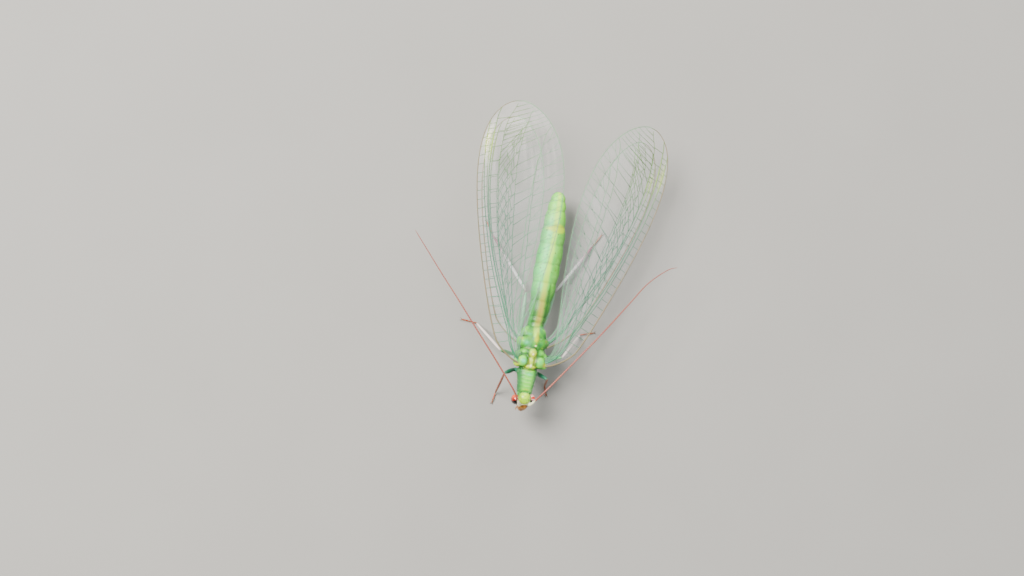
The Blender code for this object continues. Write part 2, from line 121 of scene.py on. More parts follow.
class Paint:
    """One Principled material and the nodes that feed it."""

    def __init__(self, name, **constants):
        self.material = bpy.data.materials.new(name)
        self.material.use_nodes = True
        self.nodes = self.material.node_tree.nodes
        self.links = self.material.node_tree.links
        self.shader = self.nodes["Principled BSDF"]
        for key, value in constants.items():
            self.shader.inputs[key.replace("_", " ").title().replace("Ior", "IOR")].default_value = value
        place = self.node("ShaderNodeTexCoord", output="Object")
        self.place = self.node("ShaderNodeVectorMath", {"operation": "SCALE"}, {0: place, "Scale": 1 / MM})

    def node(self, kind, settings=None, inputs=None, output=0):
        """Add a node: its settings first, then the values or links of its sockets."""
        node = self.nodes.new(kind)
        for key, value in (settings or {}).items():
            setattr(node, key, value)
        for key, value in (inputs or {}).items():
            if isinstance(value, Value):
                self.links.new(value.socket, node.inputs[key])
            else:
                node.inputs[key].default_value = value
        return Value(self, node.outputs[output])

    def mix(self, factor, first, second, blend="MIX"):
        """Blend two colours, each a value or a six-figure code."""
        first, second = (tint(colour) if isinstance(colour, str) else colour for colour in (first, second))
        settings = {"data_type": "RGBA", "blend_type": blend}
        return self.node("ShaderNodeMix", settings, {0: factor, 6: first, 7: second}, 2)

    def coats(self, base, *layers):
        """Lay colours over a base one after another, each given with the share that it covers."""
        for cover, colour in layers:
            base = self.mix(cover, base, colour)
        return base

    def mark(self, name):
        """Read one of the piece's own marks."""
        return self.node("ShaderNodeAttribute", {"attribute_name": name}, output="Fac")

    def noise(self, scale, detail):
        """Soft noise with so many lumps to the millimetre."""
        return self.node("ShaderNodeTexNoise", None, {"Vector": self.place, "Scale": scale, "Detail": detail})

    def cells(self, scale):
        """Distance inside rounded cells with so many to the millimetre."""
        return self.node("ShaderNodeTexVoronoi", None, {"Vector": self.place, "Scale": scale})

    def step(self, value, low, high):
        """Rise smoothly from 0 at low to 1 at high."""
        inputs = {"Value": value, "From Min": low, "From Max": high}
        return self.node("ShaderNodeMapRange", {"interpolation_type": "SMOOTHSTEP"}, inputs)

    def feed(self, **values):
        """Link values to the shader's sockets."""
        for key, value in values.items():
            self.links.new(value.socket, self.shader.inputs[key.replace("_", " ").title()])
        return self.material

    def bump(self, height, depth, strength):
        """Turn a height from 0 to 1 into a relief so many millimetres deep."""
        inputs = {"Height": height, "Distance": depth * MM, "Strength": strength}
        return self.feed(normal=self.node("ShaderNodeBump", None, inputs))


print("white reads as", tint("ffffff"))

# %% [markdown]
# ## Meshes
# Every piece is a grid of points: a surface of two numbers, or a ring carried along a path. The two
# makers below work on whole arrays, and one function puts any of them into the scene.


# %% Curves and tubes
def unit(vectors):
    """Scale vectors to length one."""
    return vectors / np.maximum(np.linalg.norm(vectors, axis=-1, keepdims=True), 1e-12)


def ease(x):
    """Smooth rise from 0 to 1: 3x^2 - 2x^3."""
    x = np.clip(x, 0.0, 1.0)
    return x * x * (3 - 2 * x)


def hump(x, centre, width):
    """Bell curve of height one: e to the minus ((x - centre) / width) squared."""
    return np.exp(-((x - centre) / width) ** 2)


def curve(points, count):
    """Read count points, even by chord length, from a Catmull-Rom curve through the given rows."""
    rows = np.asarray(points, dtype=float)
    padded = np.vstack((2 * rows[:1] - rows[1:2], rows, 2 * rows[-1:] - rows[-2:-1]))
    chords = np.linalg.norm(np.diff(rows, axis=0), axis=1)
    knots = np.concatenate(((0.0,), np.cumsum(chords)))
    wanted = np.linspace(0.0, knots[-1], count)
    span = np.clip(np.searchsorted(knots, wanted, side="right") - 1, 0, len(chords) - 1)
    f = ((wanted - knots[span]) / chords[span])[:, None]
    a, b, c, d = (padded[span + k] for k in range(4))
    return 0.5 * (2 * b + (c - a) * f + (2 * a - 5 * b + 4 * c - d) * f**2 + (3 * b - a - 3 * c + d) * f**3)


def ring_faces(rows, sides):
    """Faces of a stack of rings closed to two poles, which come after the rings."""
    j = np.arange(sides)
    k = (j + 1) % sides
    start = np.arange(rows - 1)[:, None] * sides
    quads = np.stack((start + j, start + k, start + sides + k, start + sides + j), axis=-1).reshape(-1, 4)
    first = np.full(sides, rows * sides)
    end = (rows - 1) * sides
    caps = np.vstack((np.stack((first, k, j), axis=1), np.stack((first + 1, end + j, end + k), axis=1)))
    return quads, caps


def tubes(paths, radii, upward, sides):
    """Carry a ring along every path of a batch and close both ends to a point.

    Point = path + radius (cos a side + sin a top), where side is at right angles to the path and to the
    upward direction, and top is at right angles to both.
    """
    paths = np.asarray(paths, dtype=float)
    count, rows, _ = paths.shape
    along = unit(np.gradient(paths, axis=1))
    side = unit(np.cross(along, upward))
    top = np.cross(side, along)
    angle = np.arange(sides) * 2 * math.pi / sides
    reach = np.broadcast_to(radii, (count, rows))[..., None, None]
    spoke = np.cos(angle)[:, None] * side[:, :, None] + np.sin(angle)[:, None] * top[:, :, None]
    rings = (paths[:, :, None] + reach * spoke).reshape(count, rows * sides, 3)
    points = np.concatenate((rings, paths[:, :1], paths[:, -1:]), axis=1)
    quads, caps = ring_faces(rows, sides)
    shift = np.arange(count)[:, None, None] * points.shape[1]
    return points.reshape(-1, 3), [(quads + shift).reshape(-1, 4), (caps + shift).reshape(-1, 3)]


def spread(values, sides):
    """Give one number per path station to every point of its ring and to the two poles."""
    values = np.asarray(values, dtype=float)
    rings = np.repeat(values, sides, axis=1)
    return np.concatenate((rings, values[:, :1], values[:, -1:]), axis=1).ravel()


def join(shapes):
    """Join several shapes, each points with its lists of quads and triangles."""
    points, quads, caps, shift = [], [], [], 0
    for spots, (four, three) in shapes:
        points.append(spots)
        quads.append(four + shift)
        caps.append(three + shift)
        shift += len(spots)
    return np.concatenate(points), [np.concatenate(quads), np.concatenate(caps)]


print("a ring of 8 on 2 rows has", sum(len(f) for f in ring_faces(2, 8)), "faces")


# %% Pieces
def add_piece(name, points, faces, paint, nodes=(), marks=None, patches=None):
    """Make one object from points in millimetres, ride it on the body and name what it replaces."""
    points = np.asarray(points, dtype=float).reshape(-1, 3)
    quads, caps = (np.asarray(f, dtype=np.int32) for f in faces)
    a, b, c, d = (points[quads[:, i]] for i in range(4))
    volume = (np.cross(a, b) * c).sum() + (np.cross(a, c) * d).sum()
    e, f, g = (points[caps[:, i]] for i in range(3))
    volume += (np.cross(e, f) * g).sum()
    if volume < 0:
        quads, caps = quads[:, ::-1], caps[:, ::-1]
    corners = np.concatenate((quads.ravel(), caps.ravel()))
    sizes = np.concatenate((np.full(len(quads), 4), np.full(len(caps), 3)))
    mesh = bpy.data.meshes.new(name)
    mesh.vertices.add(len(points))
    mesh.vertices.foreach_set("co", (points * MM).ravel())
    mesh.loops.add(len(corners))
    mesh.loops.foreach_set("vertex_index", corners)
    mesh.polygons.add(len(sizes))
    mesh.polygons.foreach_set("loop_start", np.cumsum(sizes) - sizes)
    mesh.polygons.foreach_set("use_smooth", np.ones(len(sizes), dtype=bool))
    for key, values in (marks or {}).items():
        mesh.attributes.new(key, "FLOAT", "POINT").data.foreach_set("value", np.ravel(values))
    mesh.update(calc_edges=True)
    if patches is not None:
        layer = mesh.uv_layers.new(name="OFBake")
        layer.uv.foreach_set("vector", patches[corners].ravel())
    mesh.materials.append(paint)
    obj = bpy.data.objects.new(name, mesh)
    bpy.context.scene.collection.objects.link(obj)
    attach(obj, "root")
    if nodes:
        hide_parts(*nodes)
    print(name, "has", len(quads) * 2 + len(caps), "triangles")


# %% Hair maker
PATCH = 0.003
HAIR_SIDES = 3
HAIR_TAPER = np.array((1.0, 0.8, 0.5, 0.12))
HAIR_POINTS = len(HAIR_TAPER) * HAIR_SIDES + 2


def hairs(roots, lean, lengths, thick, homes, droop):
    """Fine tapered hairs, each a three-sided bent spike, with its patch of the bake map at its root.

    Point = root + f lean - droop f^2 upward, for f from 0 at the root to 1 at the tip.
    """
    count = len(roots)
    f = np.linspace(0.0, 1.0, len(HAIR_TAPER))[:, None]
    reach = (unit(lean) * lengths[:, None])[:, None]
    paths = roots[:, None] + f * reach - droop * UPWARD * f**2 * lengths[:, None, None]
    sideways = unit(np.cross(lean, (0.31, 0.53, 0.79)))[:, None]
    points, faces = tubes(paths, thick * HAIR_TAPER, sideways, HAIR_SIDES)
    local_u = spread(np.tile(f.T, (count, 1)), HAIR_SIDES)
    local_v = np.tile(np.arange(HAIR_POINTS) % HAIR_SIDES / 2, count)
    return points, faces, np.repeat(homes, HAIR_POINTS, axis=0) + PATCH * np.stack((local_u, local_v), axis=1)


print("points in a hair:", HAIR_POINTS)

# %% [markdown]
# ## Body sizes
# The stations repeat the solids' own sizes, so the skin lies where they are. The neck and the two
# waists, which the solids leave open as thin gaps, are bridged here.

# %% Body sizes
HEAD = np.array((-0.10, -7.08, 2.25))
HEAD_TURN = math.radians(9.0)
EYE_PLACE = np.array((0.385, 0.0, 0.03))
EYE = np.array((0.235, 0.26, 0.30))
SIDES = {"left": 1.0, "right": -1.0}

# y, x, z, half width, half height
TRUNK = np.array((
    (-7.00, -0.10, 2.24, 0.24, 0.20), (-6.84, -0.10, 2.25, 0.34, 0.28), (-6.74, -0.10, 2.27, 0.37, 0.32),
    (-6.64, -0.10, 2.28, 0.39, 0.35), (-6.35, -0.10, 2.30, 0.42, 0.41), (-5.95, -0.10, 2.29, 0.48, 0.46),
    (-5.66, -0.10, 2.26, 0.51, 0.47), (-5.52, -0.08, 2.24, 0.47, 0.44), (-5.40, -0.06, 2.22, 0.56, 0.56),
    (-5.20, -0.05, 2.18, 0.70, 0.66), (-4.95, -0.04, 2.16, 0.74, 0.68), (-4.55, -0.03, 2.14, 0.69, 0.64),
    (-4.10, -0.01, 2.12, 0.70, 0.63), (-3.72, 0.01, 2.03, 0.59, 0.56), (-3.50, 0.03, 1.99, 0.45, 0.46),
    (-3.25, 0.06, 1.93, 0.41, 0.43), (-2.83, 0.11, 1.90, 0.46, 0.47), (-2.12, 0.17, 1.83, 0.53, 0.52),
    (-1.42, 0.23, 1.75, 0.59, 0.56), (-0.37, 0.28, 1.67, 0.64, 0.60), (0.52, 0.34, 1.61, 0.62, 0.58),
    (1.39, 0.37, 1.57, 0.58, 0.54), (2.27, 0.37, 1.53, 0.49, 0.46), (2.97, 0.39, 1.49, 0.39, 0.37),
    (3.25, 0.40, 1.47, 0.29, 0.27), (3.38, 0.40, 1.46, 0.18, 0.17), (3.43, 0.40, 1.46, 0.10, 0.10)))
HEAD_END = -6.71
COLLAR_END = -5.50
WAIST = -3.42
ABDOMEN_START = -3.25
SEGMENT_JOINTS = np.array((-3.25, -2.9, -2.1, -1.15, -0.2, 0.8, 1.7, 2.5, 3.0, 3.42))
COLLAR_FOLDS = np.array((-6.50, -6.31, -6.12, -5.93, -5.74))

# Soft forms fused on: place, radii and how softly each blends. A form well off the middle has a twin on
# the other side. The head's are measured from its middle, the others from the thorax's own midline.
TWIN_FROM = 0.15
HEAD_FORMS = (
    # cranium, crown, brow, face, nape, cheeks, seats of the feelers, shield over the lip
    ((0.0, 0.0, 0.0), (0.40, 0.30, 0.53), 0.06),
    ((0.01, 0.07, 0.29), (0.32, 0.31, 0.27), 0.025),
    ((0.0, -0.20, 0.20), (0.18, 0.12, 0.14), 0.05),
    ((0.0, -0.26, -0.10), (0.29, 0.25, 0.36), 0.08),
    ((0.0, 0.14, -0.02), (0.30, 0.20, 0.30), 0.08),
    ((0.25, -0.13, -0.30), (0.15, 0.18, 0.20), 0.05),
    ((0.25, -0.21, 0.24), (0.09, 0.10, 0.11), 0.025),
    ((0.0, -0.44, -0.40), (0.22, 0.16, 0.22), 0.10),
)
THORAX_LINE = -0.05
THORAX_FORMS = (
    # front lobe, the ridge behind it, shield lobes, two wing seats, scutellum and its shoulders
    ((0.0, -5.42, 2.66), (0.30, 0.15, 0.20), 0.05),
    ((0.0, -5.15, 2.70), (0.13, 0.32, 0.20), 0.06),
    ((0.41, -5.15, 2.69), (0.29, 0.30, 0.25), 0.05),
    ((0.68, -5.26, 2.56), (0.19, 0.23, 0.19), 0.11),
    ((0.62, -4.88, 2.54), (0.18, 0.20, 0.17), 0.11),
    ((0.0, -4.72, 2.72), (0.25, 0.24, 0.23), 0.07),
    ((0.36, -4.72, 2.60), (0.25, 0.18, 0.20), 0.09),
    # hind thorax: lobes, its own small shield, seats of the hind wings, shoulders of the waist
    ((0.39, -4.22, 2.48), (0.31, 0.29, 0.26), 0.07),
    ((0.06, -4.04, 2.54), (0.18, 0.34, 0.20), 0.07),
    ((0.66, -4.20, 2.34), (0.17, 0.21, 0.18), 0.12),
    ((0.32, -3.74, 2.27), (0.30, 0.32, 0.23), 0.12),
    # two flanks, then the seats of the front, middle and hind legs
    ((0.60, -4.95, 2.10), (0.19, 0.22, 0.44), 0.16),
    ((0.58, -4.22, 2.02), (0.17, 0.22, 0.40), 0.16),
    ((0.22, -5.80, 1.92), (0.22, 0.24, 0.24), 0.10),
    ((0.42, -4.97, 1.56), (0.25, 0.24, 0.28), 0.14),
    ((0.38, -4.22, 1.52), (0.23, 0.25, 0.27), 0.14),
)
print("stations:", len(TRUNK), "soft forms:", len(HEAD_FORMS) + len(THORAX_FORMS))


def turn_head(points, angle=HEAD_TURN):
    """Turn points about the upright line through the head, which looks a little to its left."""
    x, y, z = np.moveaxis(points - HEAD, -1, 0)
    c, s = math.cos(angle), math.sin(angle)
    return np.stack((c * x - s * y, s * x + c * y, z), axis=-1) + HEAD


# %% [markdown]
# ## The skin
# Head, collar, thorax and abdomen are one soft body, so they get one skin. It is found by casting rays
# outwards from a line along the body's middle to the smooth union of the trunk and its soft forms, as a
# sculptor would press lumps of clay together. The ray's place along the body and its turn around it are
# the two numbers of the surface.


# %% Distance to the body
SQUARENESS = 2.3
FORM_REACH = 0.2
RAY_STEPS = np.linspace(0.01, 1.25, 46)
HALVINGS = 7
TRUNK_SAMPLES = 600


def trunk_at(y):
    """Middle x, middle z, half width and half height of the trunk at each y."""
    fine = curve(TRUNK, TRUNK_SAMPLES)
    return [np.interp(y, fine[:, 0], fine[:, k]) for k in range(1, 5)]


def soft_union(a, b, k):
    """Smaller of two distances, blended over k where they are alike."""
    h = np.clip(0.5 + 0.5 * (b - a) / k, 0.0, 1.0)
    return b + (a - b) * h - k * h * (1 - h)


def fuse(distance, points, forms):
    """Fuse soft forms onto a distance: each ellipsoid's own is q (q - 1) over the slope of q."""
    for centre, radii, softness in forms:
        for side in (1.0, -1.0) if centre[0] > TWIN_FROM else (1.0,):
            near = np.abs(points[..., 1] - centre[1]) < radii[1] + FORM_REACH
            offset = (points[near] - np.array(centre) * (side, 1.0, 1.0)) / radii
            q = np.linalg.norm(offset, axis=-1)
            slope = np.linalg.norm(offset / radii, axis=-1) + 1e-9
            distance[near] = soft_union(distance[near], q * (q - 1) / slope, softness)


def body_distance(points):
    """Rough distance to the body: the trunk's superellipse, cut at both ends, then every soft form."""
    x, y, z = np.moveaxis(points, -1, 0)
    middle_x, middle_z, half_width, half_height = trunk_at(y)
    q = np.abs((x - middle_x) / half_width) ** SQUARENESS + np.abs((z - middle_z) / half_height) ** SQUARENESS
    distance = (q ** (1 / SQUARENESS) - 1) * np.minimum(half_width, half_height)
    distance = np.maximum(distance, np.maximum(TRUNK[0, 0] - y, y - TRUNK[-1, 0]))
    fuse(distance, points - (THORAX_LINE, 0.0, 0.0), THORAX_FORMS)
    fuse(distance, turn_head(points, -HEAD_TURN) - HEAD, HEAD_FORMS)
    return distance


def cast(origins, rays):
    """Distance along each ray to the outermost crossing of the body, refined by halving."""
    inside = np.zeros(origins.shape[:-1])
    for r in RAY_STEPS:
        inside = np.where(body_distance(origins + rays * r) < 0, r, inside)
    outside = inside + (RAY_STEPS[1] - RAY_STEPS[0])
    for _ in range(HALVINGS):
        middle = (inside + outside) / 2
        within = body_distance(origins + rays * middle[..., None]) < 0
        inside = np.where(within, middle, inside)
        outside = np.where(within, outside, middle)
    return (inside + outside) / 2


# %% Folds
def rows_of_humps(y, places, width):
    """Sum of bell curves of one width at several places."""
    return sum(hump(y, place, width) for place in places)


WRINKLE_DEPTH = 0.007
CREASE_DEPTH = 0.020
SEGMENT_SWELL = 0.050
SEGMENT_SINK = 0.024
JOINT_DEPTH = 0.006
SEAM_DEPTH = 0.030
SEAM_TURN = 1.85


def skin_relief(y, turn):
    """Fold height in millimetres at y and at a turn around the body.

    Collar wrinkles and the creases before and behind the thorax are bell curves. Each segment of the
    abdomen swells by sin(pi share) between its joints, and a seam runs along each of its sides.
    """
    relief = -WRINKLE_DEPTH * rows_of_humps(y, COLLAR_FOLDS, 0.045) * (0.675 + 0.325 * np.cos(turn))
    relief -= CREASE_DEPTH * (hump(y, COLLAR_END, 0.05) + hump(y, WAIST, 0.07))
    edges = SEGMENT_JOINTS
    within = np.clip(np.searchsorted(edges, y, side="right") - 1, 0, len(edges) - 2)
    swell = np.sin(math.pi * np.clip((y - edges[within]) / (edges[within + 1] - edges[within]), 0.0, 1.0))
    belly = ease((y - ABDOMEN_START) / 0.1) * ease((3.38 - y) / 0.15)
    joint = JOINT_DEPTH * rows_of_humps(y, edges[1:-1], 0.022)
    seam = SEAM_DEPTH * hump(np.abs(turn), SEAM_TURN, 0.16) * swell
    return relief + belly * (SEGMENT_SWELL * swell - SEGMENT_SINK - joint - seam)


print("relief amid the first fold:", round(float(skin_relief(COLLAR_FOLDS[0], 0.0)), 4), "mm")

# %% Grid of the skin
COLUMNS = 144
TAIL = 3.22
TAIL_ROWS = 14
FACE_ROWS = 46
# stretches of rows from tail to head: first y, last y and number of rows
STRETCHES = ((TAIL, -3.1, 190), (-3.13, -5.6, 124), (-5.618, -6.60, 56), (-6.61, HEAD[1], 60))
tail_rows = np.linspace(1.0, 0.0, TAIL_ROWS)[1:-1] * math.pi / 2
trunk_rows = np.concatenate([np.linspace(*stretch) for stretch in STRETCHES])
face_rows = np.linspace(0.0, 1.0, FACE_ROWS)[1:-1] * math.pi / 2
row_y = np.concatenate((np.full(len(tail_rows), TAIL), trunk_rows, np.full(len(face_rows), HEAD[1])))
fan = np.concatenate((tail_rows, np.zeros(len(trunk_rows)), -face_rows))[:, None]
turn = (np.arange(COLUMNS) / COLUMNS * 2 * math.pi - math.pi)[None, :]
middle_x, middle_z, _, _ = trunk_at(row_y)
to_head = ease((-6.70 - row_y) / 0.30)
middle_x = middle_x + (HEAD[0] - middle_x) * to_head
middle_z = middle_z + (HEAD[2] - middle_z) * to_head
tall = 1 + 0.30 * to_head[:, None]
origins = np.stack((middle_x, row_y, middle_z), axis=1)[:, None] + np.zeros((1, COLUMNS, 1))
rays = unit(np.stack((
    np.sin(turn) * np.cos(fan), np.sin(fan) + 0 * turn, np.cos(turn) * np.cos(fan) * tall), axis=-1))
radius = cast(origins, rays)
radius += skin_relief(row_y[:, None], turn) * np.cos(fan)
skin = origins + rays * radius[..., None]
poles = np.stack((skin[0].mean(axis=0) + (0.0, 0.012, 0.0), skin[-1].mean(axis=0) - (0.0, 0.004, 0.0)))
print("skin grid:", skin.shape, "reaches y", round(skin[..., 1].min(), 2), round(skin[..., 1].max(), 2))

# %% [markdown]
# ## Marks on the skin
# The photograph shows a cream-yellow stripe down the back, mint on one flank and lime on the other, a
# bright yellow patch far back, rosy flecks, mint lobes among yellow on the thorax, a blue-green collar
# with pale wrinkles, and a lime crown over cream cheeks and an amber mouth. Some marks are painted light:
# shade in the hollows, behind the crown, along the sides, at the collar's sides and the abdomen's front,
# and highlights on the ridges, on the mint lobes and on the pale midline. Each is a formula of the
# place along the body, across it and around it, kept as a mark on the points for the paint to read.

# %% Skin marks
skin_x, skin_y, _ = np.moveaxis(skin, -1, 0)
across = skin_x - middle_x[:, None]
over = ease((np.cos(turn) + 0.15) / 0.9) + 0 * across
head_x, head_y, head_z = np.moveaxis(turn_head(skin, -HEAD_TURN) - HEAD, -1, 0)
on_head = ease((HEAD_END - skin_y) / 0.06)
on_collar = ease((COLLAR_END - skin_y) / 0.06) * (1 - on_head)
on_belly = ease((skin_y + 3.60) / 0.45)
on_thorax = (1 - on_belly) * (1 - on_collar) * (1 - on_head)


def spot(x, y, radius_x, radius_y):
    """Soft oval on the back, centred at x across and y along."""
    return np.exp(-((across - x) / radius_x) ** 2 - ((skin_y - y) / radius_y) ** 2) * ease(np.cos(turn) * 4)


def spots(rows):
    """Sum of soft ovals, each x, y, radius across, radius along and strength."""
    return sum(strength * spot(*row) for *row, strength in rows)


def blurred(values, reach):
    """Mean of the values shifted by up to so many rows and columns either way."""
    for axis in (0, 1):
        values = sum(np.roll(values, shift, axis) for shift in range(-reach, reach + 1)) / (2 * reach + 1)
    return values


print("share of the skin on the head:", round(float(on_head.mean()), 2))

# %% Stripes, painted shade and painted highlights
BLUR = 7
rise = radius - blurred(radius, BLUR)
# painted shade: darker in the hollows between the skin's forms, and a painted shadow over the right side of
# the hind thorax
painted_shade = ease((-0.002 - rise) / 0.028) * (1 - 0.7 * on_belly) + spots(((0.46, -4.20, 0.30, 0.34, 0.8),))
# painted highlight on the ridges, where the skin stands above its neighbourhood
high = ease((rise - 0.002) / 0.030)
stripe_width = np.interp(skin_y, (-5.4, -4.4, -3.0, -1.5, 1.0, 3.3), (0.06, 0.12, 0.19, 0.17, 0.15, 0.10))
stripe_middle = np.interp(skin_y, (-5.4, -3.0, -1.5, 1.0, 3.0), (0.0, 0.02, -0.04, -0.02, 0.0))
stripe = hump(across, stripe_middle, stripe_width) * over * ease((skin_y + 4.15) / 0.4)
rose = 0.62 * hump(across, stripe_middle - 0.02, 0.045) * over * ease((-0.9 - skin_y) / 1.4) * on_belly
flank = hump(np.abs(across - stripe_middle), 0.27, 0.09) * over * ease((-0.3 - skin_y) / 1.6) * on_belly
rose = rose + spots((
    (0.0, -5.44, 0.05, 0.11, 0.7), (0.02, -5.05, 0.04, 0.20, 0.5), (0.10, -4.27, 0.07, 0.07, 0.9),
    (0.06, -4.50, 0.09, 0.04, 1.0), (0.02, -6.42, 0.10, 0.05, 0.5)))
# painted shade: darker where the skin turns away to either side
side_shade = ease((np.abs(np.sin(turn)) - 0.55) / 0.45) * (1 - on_head)
print("share of the skin in hollows:", round(float((painted_shade > 0.5).mean()), 3))

# %% Spots
yolk = spots((
    (0.24, 1.56, 0.30, 0.20, 1.3), (0.10, 1.74, 0.24, 0.18, 0.5), (-0.20, 1.58, 0.40, 0.15, 0.8),
    (-0.20, -5.45, 0.14, 0.10, 1.4), (-0.12, -5.20, 0.10, 0.22, 1.5), (0.13, -5.14, 0.09, 0.26, 1.5),
    (0.20, -5.44, 0.13, 0.09, 1.3), (0.0, -4.74, 0.21, 0.22, 1.1), (-0.70, -5.38, 0.18, 0.16, 0.9),
    (0.70, -5.26, 0.16, 0.18, 0.9), (-0.66, -5.02, 0.12, 0.12, 0.6), (0.09, -4.02, 0.15, 0.20, 1.0),
    (0.10, -3.60, 0.10, 0.30, 0.7), (-0.66, -4.04, 0.10, 0.14, 0.8), (0.60, -4.08, 0.10, 0.14, 0.6),
    (-0.30, -4.52, 0.16, 0.05, 0.6), (0.45, -4.45, 0.12, 0.06, 0.6), (0.0, -5.60, 0.30, 0.06, 0.7),
    (0.0, -6.58, 0.24, 0.07, 0.7)))
# mint: lobes of the thorax and the back of the collar, partly their own colour and partly painted highlight;
# the weaker lobes on +X are painted shade
mint = spots((
    (-0.42, -5.16, 0.17, 0.17, 1.0), (0.44, -5.13, 0.14, 0.18, 0.62), (-0.38, -4.24, 0.24, 0.19, 0.9),
    (0.36, -4.22, 0.17, 0.16, 0.5), (-0.30, -3.80, 0.20, 0.10, 0.7), (0.34, -4.74, 0.12, 0.08, 0.5),
    (0.04, -5.80, 0.26, 0.14, 0.8), (0.02, -6.10, 0.20, 0.06, 0.5)))
# cream: the pale midline of the thorax, partly its own colour and partly painted highlight
cream = spots((
    (0.0, -4.78, 0.08, 0.09, 0.8), (0.0, -5.38, 0.045, 0.11, 1.2), (0.02, -5.08, 0.03, 0.10, 0.7),
    (0.08, -4.36, 0.08, 0.06, 0.8)))
middles = (SEGMENT_JOINTS[1:-1] + SEGMENT_JOINTS[2:]) / 2
dots = spots(
    [(side * 0.20 - 0.03, y + 0.06 * side, 0.036, 0.042, 1.1) for y in middles[:6] for side in SIDES.values()]
    + [(-0.42, y + 0.22, 0.036, 0.06, 1.0) for y in middles[2:6]]
    + [(-0.36, y - 0.20, 0.030, 0.04, 0.9) for y in middles[1:5]])
print("share of the skin that is yellow:", round(float((yolk > 0.5).mean()), 3))

# %% Marks for the paint
folds = rows_of_humps(skin_y, COLLAR_FOLDS + 0.09, 0.045) * over * on_collar * hump(across, 0.02, 0.24)
joints = rows_of_humps(skin_y, SEGMENT_JOINTS[1:-1], 0.045) * on_belly
# lime: lighter lime towards one side of the abdomen, and a lime collar middle against dark green sides, which
# are partly painted shade
lime = ease(0.5 + (across - 0.05) / 1.1) * on_belly + on_collar * hump(across, 0.03, 0.31) * over
# front: darker towards the front of the abdomen, painted shade; the same mark turns the stripe ochre there
front = ease((-0.4 - skin_y) / 2.2) * on_belly
tail = ease((skin_y - 1.7) / 0.8) * on_belly
dome = np.hypot((head_x - 0.01) / 0.34, (head_y - 0.07) / 0.34)
crown = on_head * ease((head_z - 0.02) / 0.12) * ease((1 - dome) / 0.14)
# painted shade in the crease behind the crown; the painted shade is kept lighter on the front of the face
nape_shade = hump(dome, 1.06, 0.13) * ease(head_y / 0.2) * ease(head_z / 0.1)
painted_shade = painted_shade * (1 - 0.6 * ease(-head_y / 0.2) * on_head) + 0.8 * nape_shade
amber = on_head * ease((-0.23 - head_y) / 0.08) * ease((0.30 - np.abs(head_x) - 0.5 * head_z) / 0.08)
belly_side = ease(-np.cos(turn) / 0.6) + 0 * across
nape = ease((head_y - 0.06) / 0.10) * (1 - crown)
skin_marks = {
    "stripe": stripe, "rose": rose, "yolk": yolk, "mint": mint, "cream": cream, "folds": folds,
    "joints": joints, "dots": dots, "lime": lime, "head": on_head * (1 - nape), "crown": crown,
    "amber": amber, "collar": on_collar, "thorax": on_thorax, "under": belly_side, "flank": flank,
    "side": side_shade, "painted_shade": painted_shade, "high": high, "front": front, "tail": tail,
}
skin_marks = {key: np.append(np.clip(v, 0, 1).ravel(), np.clip(v[[0, -1]].mean(axis=1), 0, 1))
              for key, v in skin_marks.items()}
print("marks:", ", ".join(skin_marks))

# %% [markdown]
# ## Skin paint
# Living lacewings are translucent: a little light spreads under the surface, and fine leathery cells
# catch it. Colours are mixed from the marks, and noise breaks every edge so that no border is ruled.

# %% Skin paint
paint = Paint("lacewing_skin", roughness=0.42, subsurface_weight=0.18, subsurface_scale=0.00022)
paint.shader.inputs["Subsurface Radius"].default_value = (0.8, 1.0, 0.45)
cloud = paint.noise(3.2, 3.0)
grit = paint.noise(22.0, 2.0)
waver = (cloud - 0.5) * 0.30 + (grit - 0.5) * 0.15


def edged(name, low, high):
    """A mark whose border wavers with the noise."""
    return paint.step(paint.mark(name) + waver, low, high)


under, crown = paint.mark("under"), paint.mark("crown")
green = paint.coats(
    "4fe06c",
    (edged("lime", 0.1, 0.9), "5fb42a"),
    (paint.step(cloud, 0.35, 0.7) * 0.35, "9cf070"),
    # darker towards the front of the abdomen: painted shade
    (edged("front", 0.2, 0.9) * 0.75, "267018"),
    (paint.mark("tail") * 0.7, "8cee10"))
thorax = paint.coats(
    "2a8434",
    (paint.step(cloud, 0.35, 0.65), "56b428"),
    # lighter on the ridges: painted highlight
    (paint.mark("high") * 0.6, "86ee48"))
face = paint.coats(
    "eef2cc",
    # darker rim of the crown: painted shade
    (edged("crown", 0.25, 0.6), "4c8c00"),
    (paint.step(crown, 0.5, 1.0), paint.mix(paint.step(cloud, 0.3, 0.6), "88c400", "b8e400")),
    (edged("amber", 0.2, 0.7), paint.mix(paint.step(cloud, 0.4, 0.6), "844800", "c88400")),
    (under * (1 - crown) * (1 - paint.mark("amber")) * 0.25, "a8c060"))
flecks = paint.step(paint.cells(2.6), 0.16, 0.05) * paint.step(paint.noise(1.1, 0.0), 0.50, 0.58)
